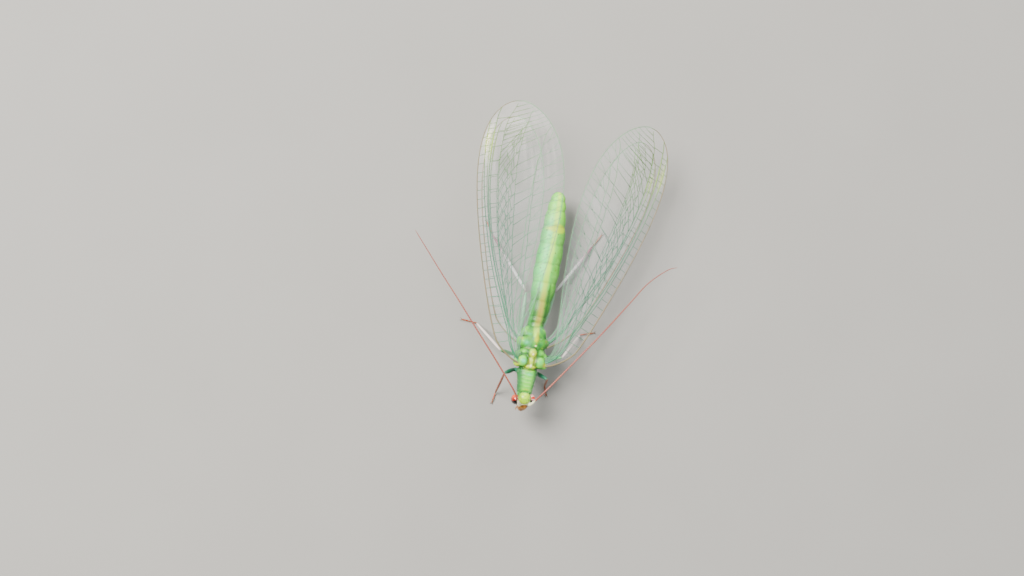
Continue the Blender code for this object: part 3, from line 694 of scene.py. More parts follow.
body = paint.coats(
    green,
    (paint.mark("thorax"), thorax),
    # collar: lime middle and dark green sides, the sides partly its own colour and partly painted shade
    (paint.mark("collar"), paint.mix(edged("lime", 0.0, 1.0), "185e34", "70d834")),
    (under * 0.5, "5cb058"),
    # darker along the sides: painted shade
    (paint.mark("side") * 0.45, "2f9440"),
    # mint with a paler middle: partly own colour, partly painted highlight
    (edged("mint", 0.2, 0.9), "34c468"),
    (paint.step(paint.mark("mint"), 0.6, 1.0) * 0.5, "7ce8b4"),
    (edged("folds", 0.3, 0.9) * 0.22, "d8f4a0"),
    (edged("flank", 0.35, 0.8) * 0.7, "1e5a10"),
    (paint.mark("joints") * 0.10, "2c7a34"),
    (edged("stripe", 0.1, 1.0) * 0.85, paint.mix(paint.mark("front"), "c4f43c", "b4a83c")),
    (edged("yolk", 0.2, 0.95), paint.mix(paint.mark("thorax"), "b4d400", "c0d000")),
    # pale midline: partly own colour, partly painted highlight
    (edged("cream", 0.3, 0.8), "f8f6b8"),
    (edged("rose", 0.4, 0.9) * 0.7, "9c5834"),
    (edged("dots", 0.45, 0.75) * 0.8, "4c3018"),
    (flecks * (1 - paint.mark("head")) * (1 - under) * 0.5, "6c5028"),
    (paint.mark("head"), face))
# painted shade: the skin is darkened by multiplying in its hollows, behind the crown and over the hind
# thorax's right side
body = paint.mix(paint.mark("painted_shade") * 0.8, body, "4c8030", "MULTIPLY")
leather = paint.cells(34.0) * 0.30 + grit * 0.35 + paint.noise(7.0, 3.0) * 0.6
paint.feed(base_color=body, roughness=paint.step(leather, 0.1, 1.0) * 0.18 + 0.32 - crown * 0.12)
skin_paint = paint.bump(leather * (1 - crown * 0.6), 0.020, 0.6)
points = np.concatenate((skin.reshape(-1, 3), poles))
add_piece("body_skin", points, ring_faces(len(row_y), COLUMNS), skin_paint,
          ("head", "prothorax", "thorax", "abdomen"), skin_marks)

# %% [markdown]
# ## Eyes
# A compound eye is a bulging dome of thousands of six-sided lenses with a metallic gleam. The gleam is
# painted sheen fixed to the dome: coral red above and almost black below on one side, paler rose on the
# other. The dome is an ellipsoid sunk into the head, and its lenses are far finer than the mesh, so they
# are a relief of cells in the paint.

# %% Eyes
paint = Paint("eye_gleam", roughness=0.24, coat_weight=0.8, coat_roughness=0.08, metallic=0.25)
# painted sheen: coral over near-black on one eye, pale rose with a coral spot on the other, set by each
# point's direction on the dome
eye_sheen = paint.mark("eye_sheen") + (paint.noise(5.0, 2.0) - 0.5) * 0.35
bright = paint.coats(
    "080304",
    (paint.step(eye_sheen, -0.05, 0.30), "a01c04"),
    (paint.step(eye_sheen, 0.35, 0.85), "ff5a1c"))
pale = paint.coats(
    "10080a",
    (paint.step(eye_sheen, -0.15, 0.20), "dca8a0"),
    (paint.step(paint.mark("spot"), 0.4, 0.7), "d83418"))
paint.feed(base_color=paint.mix(paint.mark("pale"), bright, pale))
eye_paint = paint.bump(paint.cells(30.0), 0.008, 0.8)
EYE_RINGS = 44
EYE_COLUMNS = 64
polar = np.linspace(0.0, math.pi, EYE_RINGS + 2)[1:-1, None]
azimuth = np.arange(EYE_COLUMNS) / EYE_COLUMNS * 2 * math.pi
ring = np.sin(polar)
ball = np.stack((np.cos(polar) + 0 * azimuth, ring * np.cos(azimuth), ring * np.sin(azimuth)), axis=-1)
ball = np.concatenate((ball.reshape(-1, 3), ((1.0, 0.0, 0.0), (-1.0, 0.0, 0.0))))
for side_name, side in SIDES.items():
    dome = turn_head(HEAD + (EYE_PLACE + ball * EYE) * (side, 1.0, 1.0))
    marks = {
        "eye_sheen": ball @ (0.30, 0.85, 0.12), "pale": np.full(len(ball), side > 0, dtype=float),
        "spot": hump(ball[:, 2], 0.85, 0.3) * hump(ball[:, 1], 0.25, 0.3),
    }
    add_piece("eye_" + side_name + "_dome", dome, ring_faces(EYE_RINGS, EYE_COLUMNS), eye_paint,
              ("eye_" + side_name,), marks)

# %% [markdown]
# ## Spindles
# An insect's limb is a chain of hard tubes, each rounded at both ends and let into the next. One
# function makes a whole batch of them from their two ends, thickness and bow.

# %% Spindles
SPINDLE_ROWS = 15
SPINDLE_SIDES = 12


def spindles(starts, ends, thick_start, thick_end, swell, bow):
    """Rounded tubes between pairs of points, from arrays with a row or number for each.

    Radius = (thickness from start to end + swell sin(pi f)) times the square root of 1 - |2f - 1|^8.
    The middle is pushed sideways by bow sin(pi f).
    """
    f = 0.5 - 0.5 * np.cos(math.pi * np.linspace(0.02, 0.98, SPINDLE_ROWS))
    hold = np.sin(math.pi * f)
    paths = starts[:, None] + (ends - starts)[:, None] * f[:, None] + bow[:, None] * hold[:, None]
    line = thick_start[:, None] * (1 - f) + thick_end[:, None] * f
    radii = (line + swell[:, None] * hold) * np.sqrt(1 - np.abs(2 * f - 1) ** 8)
    return tubes(paths, radii, (0.23, 0.41, 0.88), SPINDLE_SIDES)


def per_spindle(values):
    """Give one number per spindle to all its points."""
    return np.repeat(np.asarray(values, dtype=float), SPINDLE_ROWS * SPINDLE_SIDES + 2)


print("triangles in a spindle:", 2 * SPINDLE_SIDES * SPINDLE_ROWS)

# %% [markdown]
# ## Mouthparts
# Under the face hang a lip, two jaws and two pairs of jointed palps, orange-brown with paler joints.
# Each segment is a spindle whose place is measured from the lip.

# %% Mouthparts
LIP = (0.0, -0.50, -0.72)
paint = Paint("mouth_amber", roughness=0.30, coat_weight=0.3)
base = paint.mix(paint.step(paint.noise(7.0, 2.0), 0.35, 0.7), "843c00", "c87814")
paint.feed(base_color=paint.mix(paint.mark("pale") * 0.6, base, "dcb070"))
mouth_paint = paint.bump(paint.noise(30.0, 2.0), 0.004, 0.6)
LIP_SEGMENT = ((0.0, 0.09, 0.20), (0.0, -0.07, -0.12), 0.17, 0.12, 0.02, 0.3)
PAIRED_SEGMENTS = (
    # jaw, long palp of four joints, short palp of two: both ends, both radii, swell and paleness
    ((0.10, 0.03, 0.04), (0.04, -0.10, -0.22), 0.09, 0.035, 0.01, 0.0),
    ((0.13, 0.10, 0.02), (0.18, 0.08, -0.10), 0.045, 0.040, 0.0, 0.2),
    ((0.17, 0.08, -0.08), (0.19, 0.04, -0.21), 0.038, 0.036, 0.0, 0.5),
    ((0.19, 0.05, -0.20), (0.20, -0.02, -0.34), 0.036, 0.034, 0.0, 0.8),
    ((0.20, -0.01, -0.33), (0.19, -0.10, -0.45), 0.034, 0.016, 0.004, 1.0),
    ((0.07, 0.10, -0.08), (0.09, 0.07, -0.22), 0.035, 0.032, 0.0, 0.4),
    ((0.09, 0.07, -0.21), (0.10, 0.00, -0.35), 0.032, 0.016, 0.003, 0.9),
)
segments = [LIP_SEGMENT]
for side in SIDES.values():
    mirror = np.array((side, 1.0, 1.0))
    segments += [(mirror * start, mirror * end, *rest) for start, end, *rest in PAIRED_SEGMENTS]
starts, ends, thick_a, thick_b, swell, pale = (np.array(column) for column in zip(*segments))
points, faces = spindles(starts, ends, thick_a, thick_b, swell, 0 * starts)
points = turn_head(HEAD + LIP + points)
marks = {"pale": per_spindle(pale)}
add_piece("mouth", points, faces, mouth_paint, ("mouthparts",), marks)

# %% [markdown]
# ## Feelers
# Each feeler is a stout first joint, a short second one and about ninety tiny rings that taper to a
# point. The rings swell between fine necks, so the radius carries a ripple along the path.

# %% Feelers
ANTENNAE = {
    "left": (
        (0.17, -7.28, 2.46), (0.20, -7.31, 2.68), (0.27, -7.20, 2.90), (0.40, -7.00, 3.10),
        (0.68, -6.60, 3.34), (1.06, -6.10, 3.42), (1.81, -5.10, 3.47), (3.18, -3.28, 3.46),
        (4.42, -1.62, 3.12), (5.25, -0.52, 2.87), (6.18, 0.28, 2.65), (6.72, 0.52, 2.55)),
    "right": (
        (-0.27, -7.36, 2.46), (-0.33, -7.38, 2.68), (-0.42, -7.26, 2.90), (-0.60, -6.98, 3.12),
        (-0.88, -6.60, 3.32), (-1.29, -6.10, 3.38), (-2.21, -4.98, 3.38), (-3.18, -3.82, 3.27),
        (-4.22, -2.54, 3.06), (-5.15, -1.42, 2.85), (-6.72, 0.52, 2.55)),
}
ANTENNA_ROWS = 560
ANTENNA_SIDES = 10
RINGS = 92
RINGS_START = 0.078
paint = Paint("feeler_rose", roughness=0.45)
paint.feed(base_color=paint.coats(
    "6c3020",
    (paint.step(paint.mark("ring"), 0.2, 0.8), "a45a44"),
    (paint.mark("root"), "e8e8c0"),
    (paint.step(paint.noise(2.0, 1.0), 0.3, 0.7) * 0.3, "8c4450")))
feeler_paint = paint.bump(paint.noise(40.0, 2.0), 0.003, 0.5)
f = np.linspace(0.0, 1.0, ANTENNA_ROWS)
joint = np.abs(np.sin(math.pi * RINGS * f))
radii = np.interp(f, (0.0, 0.020, 0.054, 0.060, 0.070, RINGS_START, 0.5, 0.97, 1.0),
                  (0.060, 0.068, 0.060, 0.044, 0.054, 0.043, 0.039, 0.022, 0.008))
radii = radii * np.where(f > RINGS_START, 0.86 + 0.16 * joint**0.5, 1.0)
root = ease((0.074 - f) / 0.012)
marks = {"ring": spread(joint[None], ANTENNA_SIDES), "root": spread(root[None], ANTENNA_SIDES)}
for side_name, stations in ANTENNAE.items():
    path = curve(stations, ANTENNA_ROWS)
    sideways = unit(np.cross(path[-1] - path[0], UPWARD))
    points, faces = tubes(path[None], radii[None], sideways, ANTENNA_SIDES)
    add_piece("feeler_" + side_name, points, faces, feeler_paint,
              ("antenna_" + side_name,), marks)

# %% [markdown]
# ## Legs
# Six slender walking legs: hip joint, femur, tibia and a foot of five small joints with two claws. The
# solids are stouter than life, so the finished legs run along their middles, apart from the right hind
# leg, which lies a little beside its solid to follow the photograph. Front femora are dark teal with a
# pinkish shin, middle shins are white with coral feet, and hind shins run from white to lavender pink.

# %% Leg sizes
# root and end of the hip joint, knee, then ankle and claws above the floor
LEG_JOINTS = {
    ("front", "right"): (
        (-0.30, -5.76, 1.42), (-0.56, -5.68, 1.16), (-1.20, -5.90, 2.20), (-1.17, -7.05), (-1.26, -7.52)),
    ("front", "left"): (
        (0.13, -5.76, 1.42), (0.40, -5.68, 1.16), (0.99, -5.94, 2.12), (1.30, -6.36), (1.46, -6.82)),
    ("middle", "right"): (
        (-0.42, -4.95, 1.02), (-0.72, -4.94, 0.88), (-1.54, -4.82, 2.10), (-2.62, -3.66), (-3.36, -3.58)),
    ("middle", "left"): (
        (0.42, -4.95, 1.02), (0.72, -4.94, 0.88), (1.58, -4.78, 2.10), (2.75, -3.55), (3.45, -3.35)),
    ("hind", "right"): (
        (-0.34, -4.20, 1.02), (-0.46, -3.98, 0.82), (-0.46, -1.76, 0.84), (-2.44, 0.88), (-2.81, 1.48)),
    ("hind", "left"): (
        (0.36, -4.20, 1.02), (0.50, -3.98, 0.82), (1.00, -1.60, 0.90), (2.80, 1.06), (3.15, 1.62)),
}
COXA_RISE = 0.45
ANKLE_HEIGHT = 0.085
FOOT_RADIUS = 0.042
FOOT_SHARES = np.array((0.0, 0.36, 0.54, 0.69, 0.81, 1.0))
LIMB_SIZES = {"front": (0.10, 0.060), "middle": (0.095, 0.066), "hind": (0.10, 0.070)}
LEG_TONES = {"front": 0.0, "middle": 0.5, "hind": 1.0}
print("legs:", len(LEG_JOINTS))

# %% Leg paint
paint = Paint("leg_shell", roughness=0.40)
cloud = paint.noise(4.0, 2.0)
tone, part, along = paint.mark("tone"), paint.mark("part"), paint.mark("along")
femur = paint.coats("1f6e50", (paint.step(tone, 0.1, 0.6), "4cae5c"), (paint.step(tone, 0.6, 0.9), "8cc49c"))
shin = paint.coats(
    "8c4c38",
    (paint.step(tone, 0.1, 0.4), "dccfca"),
    (paint.step(tone, 0.6, 0.9), paint.mix(paint.step(along, 0.35, 0.85), "e2dce0", "7e304e")),
    (paint.step(along, 0.22, 0.02) * tone * 0.6, "96546c"))
paint.feed(base_color=paint.coats(
    femur,
    (paint.step(part, 0.3, 0.7), shin),
    (paint.step(part, 1.3, 1.7), paint.mix(paint.step(cloud, 0.3, 0.7), "b03c18", "84401c")),
    (paint.step(cloud, 0.45, 0.8) * 0.15, "dfe8c8")))
leg_paint = paint.bump(paint.noise(26.0, 2.0), 0.004, 0.6)
paint = Paint("claw_horn", roughness=0.22, coat_weight=0.4)
claw_paint = paint.feed(base_color=paint.mix(paint.step(paint.mark("tip"), 0.2, 0.9), "7a4420", "1c0e08"))
print("leg paints:", leg_paint.name, "and", claw_paint.name)

# %% Leg pieces
FEMUR_PART, SHIN_PART, FOOT_PART = 0, 1, 2


def leg_segments(pair, joints):
    """Rows of start, end, radius at start and end, swell, upward bow and part, and the line of the foot."""
    root, hip, knee = (np.array(p) for p in joints[:3])
    ankle = np.array((*joints[3], ANKLE_HEIGHT))
    claw = np.array((*joints[4], FOOT_RADIUS))
    thigh, shank = LIMB_SIZES[pair]
    inner = root + COXA_RISE * UPWARD
    rows = [
        (inner, root + (hip - root) * 0.15, 0.19, 0.13, 0.02, 0.0, FEMUR_PART),
        (root + 0.06 * UPWARD, hip, 0.135, 0.095, 0.015, 0.0, FEMUR_PART),
        (hip + (root - hip) * 0.25, hip + (knee - hip) * 0.10, 0.09, 0.085, 0.012, 0.0, FEMUR_PART),
        (hip + (knee - hip) * 0.03, knee, 0.075, 0.062, thigh - 0.055, 0.05, FEMUR_PART),
        (knee + (knee - hip) * 0.015, ankle, shank * 0.92, 0.050, shank - 0.052, 0.03, SHIN_PART),
    ]
    toes = ankle + (claw - ankle) * FOOT_SHARES[:, None]
    rows += [(near - (far - near) * 0.08, far, 0.030, FOOT_RADIUS, 0.0, 0.0, FOOT_PART)
             for near, far in zip(toes[:-1], toes[1:])]
    return rows, toes[-1], unit(claw - ankle)


CLAW_HOOK = np.array(((0.0, 0.0, 0.0), (0.05, 0.035, 0.018), (0.10, 0.055, 0.008), (0.13, 0.050, -0.028)))
CLAW_ROWS = 8
CLAW_SIDES = 8
claw_radii = np.linspace(0.018, 0.004, CLAW_ROWS)[None]
claw_shapes = []
leg_rows = []
for (pair, side_name), joints in LEG_JOINTS.items():
    rows, toe_end, forward = leg_segments(pair, joints)
    starts, ends, thick_a, thick_b, swell, bow, part = (np.array(column) for column in zip(*rows))
    points, faces = spindles(starts, ends, thick_a, thick_b, swell, bow[:, None] * UPWARD)
    leg_rows.append((starts, ends, part))
    f = np.tile(np.linspace(0.0, 1.0, SPINDLE_ROWS), (len(rows), 1))
    tones = np.full(len(rows), LEG_TONES[pair])
    marks = {"part": per_spindle(part), "tone": per_spindle(tones), "along": spread(f, SPINDLE_SIDES)}
    name = pair + "_leg_" + side_name
    add_piece(name + "_shell", points, faces, leg_paint,
              (name + "_femur", name + "_tibia"), marks)
    sideways = unit(np.cross(forward, UPWARD))
    for side in SIDES.values():
        path = curve(toe_end + CLAW_HOOK @ np.stack((forward, side * sideways, UPWARD)), CLAW_ROWS)
        claw_shapes.append(tubes(path[None], claw_radii, sideways, CLAW_SIDES))
points, faces = join(claw_shapes)
tip = spread(np.tile(np.linspace(0.0, 1.0, CLAW_ROWS), (len(claw_shapes), 1)), CLAW_SIDES)
add_piece("claws", points, faces, claw_paint, (), {"tip": tip})

# %% [markdown]
# ## The surface of a wing
# A wing is a surface of two numbers: t runs from the root to the tip and s from the leading to the hind
# margin. Both margins are formulas shared with the solids. Near the root the surface is drawn in to a
# short hinge line on the thorax, so that veins and membrane grow out of the body's side.

# %% Wing surface
# height and place of the axis root, length, shares of the bow and belly, both ends of the hinge line
WINGS = {
    "forewing": (3.12, (1.02, -5.25), 12.95, 1.0, 1.0, ((0.66, -5.30, 2.74), (0.60, -4.86, 2.70))),
    "hindwing": (2.16, (1.17, -4.05), 11.0, 0.80, 0.62, ((0.68, -4.38, 2.44), (0.56, -3.98, 2.42))),
}
SPREAD = {
    ("forewing", "right"): 6.2, ("forewing", "left"): 15.2,
    ("hindwing", "right"): 6.0, ("hindwing", "left"): 16.4,
}
BOW = 2.60
BELLY = 7.61
STALK = 0.14
ROOF_TILT = math.radians(22.0)
WING_DROP = math.radians(1.5)
HINGE_SHARE = 0.085
T_END = 0.9985
PLEATS = 5.5
PLEAT_DEPTH = 0.020
CAMBER = 0.10
SAG = 0.05


def tip_steps(count, start=0.0):
    """Values of t that crowd towards the tip: sin(pi f / 2)^1.1 for f from start to 1."""
    return np.sin(np.linspace(start, 1.0, count) * math.pi / 2) ** 1.1


class Wing:
    """One wing as a surface of t, root to tip, and s, leading to hind margin."""

    def __init__(self, kind, side_name):
        height, root, self.length, self.bow, self.belly, hinge = WINGS[kind]
        side = SIDES[side_name]
        angle = math.radians(SPREAD[(kind, side_name)])
        self.along = unit(np.array((side * math.sin(angle), math.cos(angle), -math.tan(WING_DROP))))
        level_out = np.array((side * math.cos(angle), -math.sin(angle), 0.0))
        out = level_out * math.cos(ROOF_TILT) - UPWARD * math.sin(ROOF_TILT)
        self.out = unit(out - self.along * out.dot(self.along))
        self.up = np.cross(self.along, self.out) * -side
        self.origin = np.array((side * root[0], root[1], height))
        self.hinge = np.array(hinge) * (side, 1.0, 1.0)

    def width(self, t):
        """Reach ahead of the axis, a t^0.48 sqrt(1 - t^5.25), and behind it, b t^1.4 (1 - t)^0.6."""
        stalk = STALK * np.sqrt(1 - t)
        return (stalk + self.bow * BOW * t**0.48 * np.sqrt(1 - t**5.25),
                stalk + self.belly * BELLY * t**1.4 * (1 - t) ** 0.6)

    def at(self, t, s):
        """Point = root + t length along + (lead - s width) out + pleats, drawn in to the hinge near t = 0."""
        t, s = np.broadcast_arrays(np.clip(t, 0.0, T_END), s)
        lead, trail = self.width(t)
        across = lead - s * (lead + trail)
        fade = np.clip((1 - t) / 0.2, 0, 1)
        lift = PLEAT_DEPTH * np.cos(2 * math.pi * PLEATS * s) * fade - SAG * np.sin(2 * math.pi * t)
        lift = lift + CAMBER * np.sin(math.pi * s) * np.sin(math.pi * t)
        point = self.origin + (self.length * t)[..., None] * self.along + across[..., None] * self.out
        point = point + lift[..., None] * self.up
        hinge = self.hinge[0] + (self.hinge[1] - self.hinge[0]) * s[..., None]
        return hinge + (point - hinge) * ease(t / HINGE_SHARE + 0.02)[..., None] ** 0.8


wings = {key: Wing(*key) for key in SPREAD}
print("forewing is", round(float(sum(wings[("forewing", "left")].width(0.6))), 2), "mm wide")

# %% [markdown]
# ## Veins
# A lacewing's wing is a net. Near the leading edge three stout veins run together, and from the third
# a fan of slanting branches crosses two long zigzag veins to the hind margin, where every branch
# forks. Short cross-veins tie them, like rungs, and two stepped rows of them climb the outer half.
# Every vein is a line in (t, s), so the wing's surface carries it into space.

# %% Vein map
LONG_VEINS = {
    "forewing": {
        "subcosta": (
            (0, 0.30), (0.04, 0.50), (0.08, 0.52), (0.12, 0.46), (0.16, 0.38), (0.22, 0.28), (0.3, 0.195),
            (0.4, 0.135), (0.5, 0.105), (0.65, 0.085), (0.78, 0.072), (0.88, 0.045), (0.93, 0.0)),
        "radius": (
            (0, 0.38), (0.04, 0.57), (0.08, 0.59), (0.12, 0.525), (0.16, 0.44), (0.22, 0.335), (0.3, 0.245),
            (0.4, 0.18), (0.5, 0.15), (0.65, 0.135), (0.8, 0.140), (0.9, 0.13), (0.955, 0.07), (0.975, 0.0)),
        "sector": (
            (0.12, 0.53), (0.16, 0.475), (0.22, 0.395), (0.3, 0.33), (0.4, 0.28), (0.5, 0.255), (0.7, 0.25),
            (0.85, 0.27), (0.93, 0.31), (0.99, 0.45)),
        "inner": (
            (0, 0.52), (0.04, 0.70), (0.08, 0.72), (0.12, 0.675), (0.16, 0.615), (0.22, 0.545), (0.3, 0.49),
            (0.4, 0.455), (0.55, 0.44), (0.75, 0.46), (0.87, 0.55), (0.94, 0.70), (0.965, 0.85)),
        "outer": (
            (0, 0.66), (0.04, 0.82), (0.08, 0.84), (0.12, 0.81), (0.16, 0.77), (0.22, 0.725), (0.3, 0.685),
            (0.4, 0.655), (0.55, 0.64), (0.72, 0.67), (0.83, 0.78), (0.885, 0.90), (0.905, 1.0)),
        "cubitus": ((0.10, 0.83), (0.14, 0.875), (0.18, 0.92), (0.25, 1.0)),
        "anal": ((0.02, 0.90), (0.06, 0.93), (0.10, 0.96), (0.15, 1.0)),
    },
}
shared = ("subcosta", "radius", "sector", "inner")
LONG_VEINS["hindwing"] = {name: LONG_VEINS["forewing"][name] for name in shared}
LONG_VEINS["hindwing"]["outer"] = (
    (0.05, 0.78), (0.08, 0.81), (0.16, 0.80), (0.22, 0.785), (0.3, 0.775), (0.45, 0.765), (0.6, 0.78),
    (0.75, 0.86), (0.84, 1.0))
VEIN_RADII = {"subcosta": 0.025, "radius": 0.031, "sector": 0.021, "inner": 0.020, "outer": 0.019,
              "cubitus": 0.016, "anal": 0.015}
FINE_VEIN = 0.0135
# rungs at the front margin, rungs to the sector, slanting branches, cells and forks
COUNTS = {"forewing": (25, 15, 14, 10, 15), "hindwing": (19, 12, 12, 8, 12)}
LONG_ROWS = 64
SHORT_ROWS = 6
BRANCH_ROWS = 9
print("long veins of a forewing:", ", ".join(LONG_VEINS["forewing"]))


# %% Vein lines
def between(t0, s0, t1, s1, sway=0.0, rows=SHORT_ROWS):
    """Lines in (t, s) from one end to the other, bowed by sway sin(pi f)."""
    f = np.linspace(0.0, 1.0, rows)
    t0, s0, t1, s1 = (np.atleast_1d(np.asarray(v, dtype=float))[:, None] for v in (t0, s0, t1, s1))
    return np.stack((t0 + (t1 - t0) * f, s0 + (s1 - s0) * f + sway * np.sin(math.pi * f)), axis=-1)


def vein_lines(kind):
    """All veins of one wing as lines of (t, s): the long ones by name, then the short ones in groups."""
    long_lines = {name: curve(points, LONG_ROWS) for name, points in LONG_VEINS[kind].items()}
    costal, radial, slanted, cells, fringe = COUNTS[kind]
    for name, teeth, depth in (("sector", radial, 0.006), ("inner", slanted, 0.008), ("outer", cells, 0.010)):
        t, s = long_lines[name].T
        zigzag = np.abs((t * teeth * 1.1) % 1.0 - 0.5) * 2 - 0.5
        long_lines[name][:, 1] += depth * zigzag * np.clip(t / 0.2, 0, 1) * np.clip((1 - s) / 0.1, 0, 1)

    def at(name, t):
        return np.interp(t, *long_lines[name].T)

    # rungs from the front margin to the first vein, and on to the second and the third
    t = np.linspace(0.045, 0.86, costal)
    groups = [between(t - 0.006, 0.0, t, at("subcosta", t))]
    t = np.array((0.14, 0.80, 0.825, 0.85, 0.87, 0.89, 0.91))
    groups.append(between(t, at("subcosta", t), t + 0.004, at("radius", t)))
    t = np.linspace(0.16, 0.93, radial)
    groups.append(between(t, at("radius", t), t + 0.006, at("sector", t)))
    # slanting branches in two halves, and two stepped rows of rungs that tie neighbours
    t = np.linspace(0.13, 0.80, slanted)
    reach = np.linspace(0.085, 0.115, slanted)
    branches = between(t, at("sector", t), t + reach, at("inner", t + reach), -0.018, BRANCH_ROWS)
    groups += [branches[:, :5], branches[:, 4:]]
    for first, near, far in ((2, 5, 3), (4, 7, 6)):
        groups.append(between(*branches[first:-1, near].T, *branches[first + 1:, far].T))
    # cells between the zigzag veins, and forks from the last of them to the hind margin
    t = np.linspace(0.135, 0.83, cells)
    groups.append(between(t, at("inner", t), t + 0.045, at("outer", t + 0.045), 0.004))
    t = np.linspace(0.15, 0.83, fringe)
    hold = at("outer", t)
    fork = t + 0.022, hold + (1 - hold) * 0.48
    groups += [between(t, hold, *fork), between(*fork, fork[0] + 0.018, 1.0, 0.01),
               between(*fork, fork[0] + 0.040, 1.0, -0.01)]
    # the fan at the tip, and three rungs near the root
    t = np.linspace(0.845, 0.975, 7)
    start, end_t = at("sector", t), np.linspace(0.915, 0.992, len(t))
    meet = t + (end_t - t) * 0.6, start + (1 - start) * 0.55
    groups += [between(t, start, *meet, -0.02), between(*meet, end_t, 1.0, 0.01)]
    t = np.array((0.07, 0.10, 0.13))
    groups.append(between(t, at("inner", t), t + 0.005, at("outer", t)))
    return long_lines, groups


print("short veins of a forewing:", sum(len(group) for group in vein_lines("forewing")[1]))

# %% Vein paint
paint = Paint("wing_vein", roughness=0.38)
along = paint.mark("along")
paint.feed(base_color=paint.coats(
    "2c8458",
    (paint.step(along, 0.05, 0.35), "3c7458"),
    (paint.step(along, 0.5, 0.95), "5c8230"),
    (paint.mark("faint") * 0.7, "78b084"),
    (paint.mark("rosy") * 0.8, "8c6448"),
    (paint.mark("stigma"), "96b800"),
    (paint.step(paint.noise(1.5, 2.0), 0.4, 0.7) * 0.3, "3e6a55")))
vein_paint = paint.bump(paint.noise(30.0, 1.0), 0.003, 0.5)
print("vein paint:", vein_paint.name)

# %% Vein tubes
EDGE_ROWS = 110
EDGE_INSET = 0.002
TIP_ROWS = 8
vein_maps = {}
for (kind, side_name), wing in wings.items():
    long_lines, groups = vein_lines(kind)
    vein_maps[(kind, side_name)] = long_lines
    shapes, marks = [], {"along": [], "rosy": [], "stigma": [], "faint": []}

    def carry(t, s, radii, sides, rosy=0.0, stigma=0.0):
        """Carry one line or a batch of lines of (t, s) onto the wing as tubes and note their marks."""
        t, s = np.atleast_2d(t), np.atleast_2d(s)
        shapes.append(tubes(wing.at(t, s), radii, wing.up, sides))
        seen = {"along": t, "faint": ease((s - 0.5) / 0.4), "rosy": rosy, "stigma": stigma}
        for key, values in seen.items():
            marks[key].append(spread(np.broadcast_to(values, t.shape), sides))

    edge_t = tip_steps(EDGE_ROWS)
    inset = np.full(EDGE_ROWS, EDGE_INSET)
    carry(edge_t, inset, np.interp(edge_t, (0, 0.04, 0.3, 1), (0.050, 0.042, 0.032, 0.016)), 8, 0.9)
    carry(edge_t, 1 - inset, np.interp(edge_t, (0, 0.1, 1), (0.022, 0.013, 0.015)), 6)
    carry(np.ones(TIP_ROWS), np.linspace(0.0, 1.0, TIP_ROWS), 0.015, 6)
    for name, line in long_lines.items():
        t, s = line.T
        taper = np.interp(t, (0, 0.06, 0.5, 1.0), (1.10, 1.0, 0.90, 0.55))
        near_tip = hump(t, 0.84, 0.06) if name in ("subcosta", "radius") else 0 * t
        carry(t, s, VEIN_RADII[name] * taper * (1 + 0.35 * near_tip), 7, 0.0, 0.9 * near_tip)
    for lines in groups:
        t, s = np.moveaxis(lines, -1, 0)
        carry(t, s, FINE_VEIN * (1.05 - 0.35 * ease((s - 0.5) / 0.4)), 5)
    points, faces = join(shapes)
    add_piece(kind + "_" + side_name + "_veins", points, faces, vein_paint, (),
              {key: np.concatenate(values) for key, values in marks.items()})

# %% [markdown]
# ## Membrane
# Between the veins lies a clear skin, so thin that it shines like a soap film. Here it is a closed sheet
# with a hair's thickness, pleated a little between the veins, nearly see-through, with a gleam that
# turns from green to rose. Near the tip, behind the leading edge, it clouds to a pale yellow patch.

# %% Membrane
FILM = 0.014
ROWS_T = 130
ROWS_S = 64
paint = Paint("wing_film", roughness=0.16, thin_film_thickness=420.0, thin_film_ior=1.45, coat_weight=0.15,
              coat_roughness=0.10)
haze = paint.step(paint.noise(0.8, 3.0), 0.25, 0.85)
stigma = paint.mark("stigma")
paint.feed(base_color=paint.coats("dcebe0", (haze, "e6e4ec"), (stigma, "ccd67c")),
           alpha=0.02 + haze * 0.04 + stigma * 0.35 + paint.mark("root") * 0.04)
film_paint = paint.bump(paint.noise(9.0, 3.0), 0.006, 0.5)

# quads of the upper sheet, of the lower one turned over, and of the wall around the rim
index = np.arange(ROWS_T * ROWS_S).reshape(ROWS_T, ROWS_S)
sheet = np.stack((index[:-1, :-1], index[1:, :-1], index[1:, 1:], index[:-1, 1:]), axis=-1).reshape(-1, 4)
rim = np.concatenate((index[:, 0], index[-1, 1:], index[-2::-1, -1], index[0, -2:0:-1]))
after = np.roll(rim, -1)
wall = np.stack((after, after + index.size, rim + index.size, rim), axis=-1)
film_faces = [np.concatenate((sheet, sheet[:, ::-1] + index.size, wall)), np.zeros((0, 3), dtype=int)]

t = tip_steps(ROWS_T)[:, None]
s = np.linspace(0.0, 1.0, ROWS_S)[None, :]
root = ease((0.10 - t) / 0.08) + 0 * s
marks = {"stigma": hump(t, 0.845, 0.055) * hump(s, 0.075, 0.045), "root": root}
marks = {key: np.tile(values.ravel(), 2) for key, values in marks.items()}
for (kind, side_name), wing in wings.items():
    name = kind + "_" + side_name
    half = wing.up * FILM / 2
    points = np.concatenate([(wing.at(t, s) + offset).reshape(-1, 3) for offset in (half, -half)])
    add_piece(name + "_film", points, film_faces, film_paint, (name,), marks)

# %% [markdown]
# ## Fine hairs
# Short hairs fringe the wing margins and stand along the main veins, and sparse ones grow on the back,
# the head and the legs. Each is a solid spike of a few faces. Every hair carries a patch of the bake
# map at its root, so a baked colour stays its own.

# %% Hair beds
dice = np.random.default_rng(7)
paint = Paint("fine_hair", roughness=0.5)
hair_paint = paint.feed(base_color=paint.mix(paint.step(paint.noise(2.0, 1.0), 0.3, 0.7), "b9c7a4", "8fa08a"))
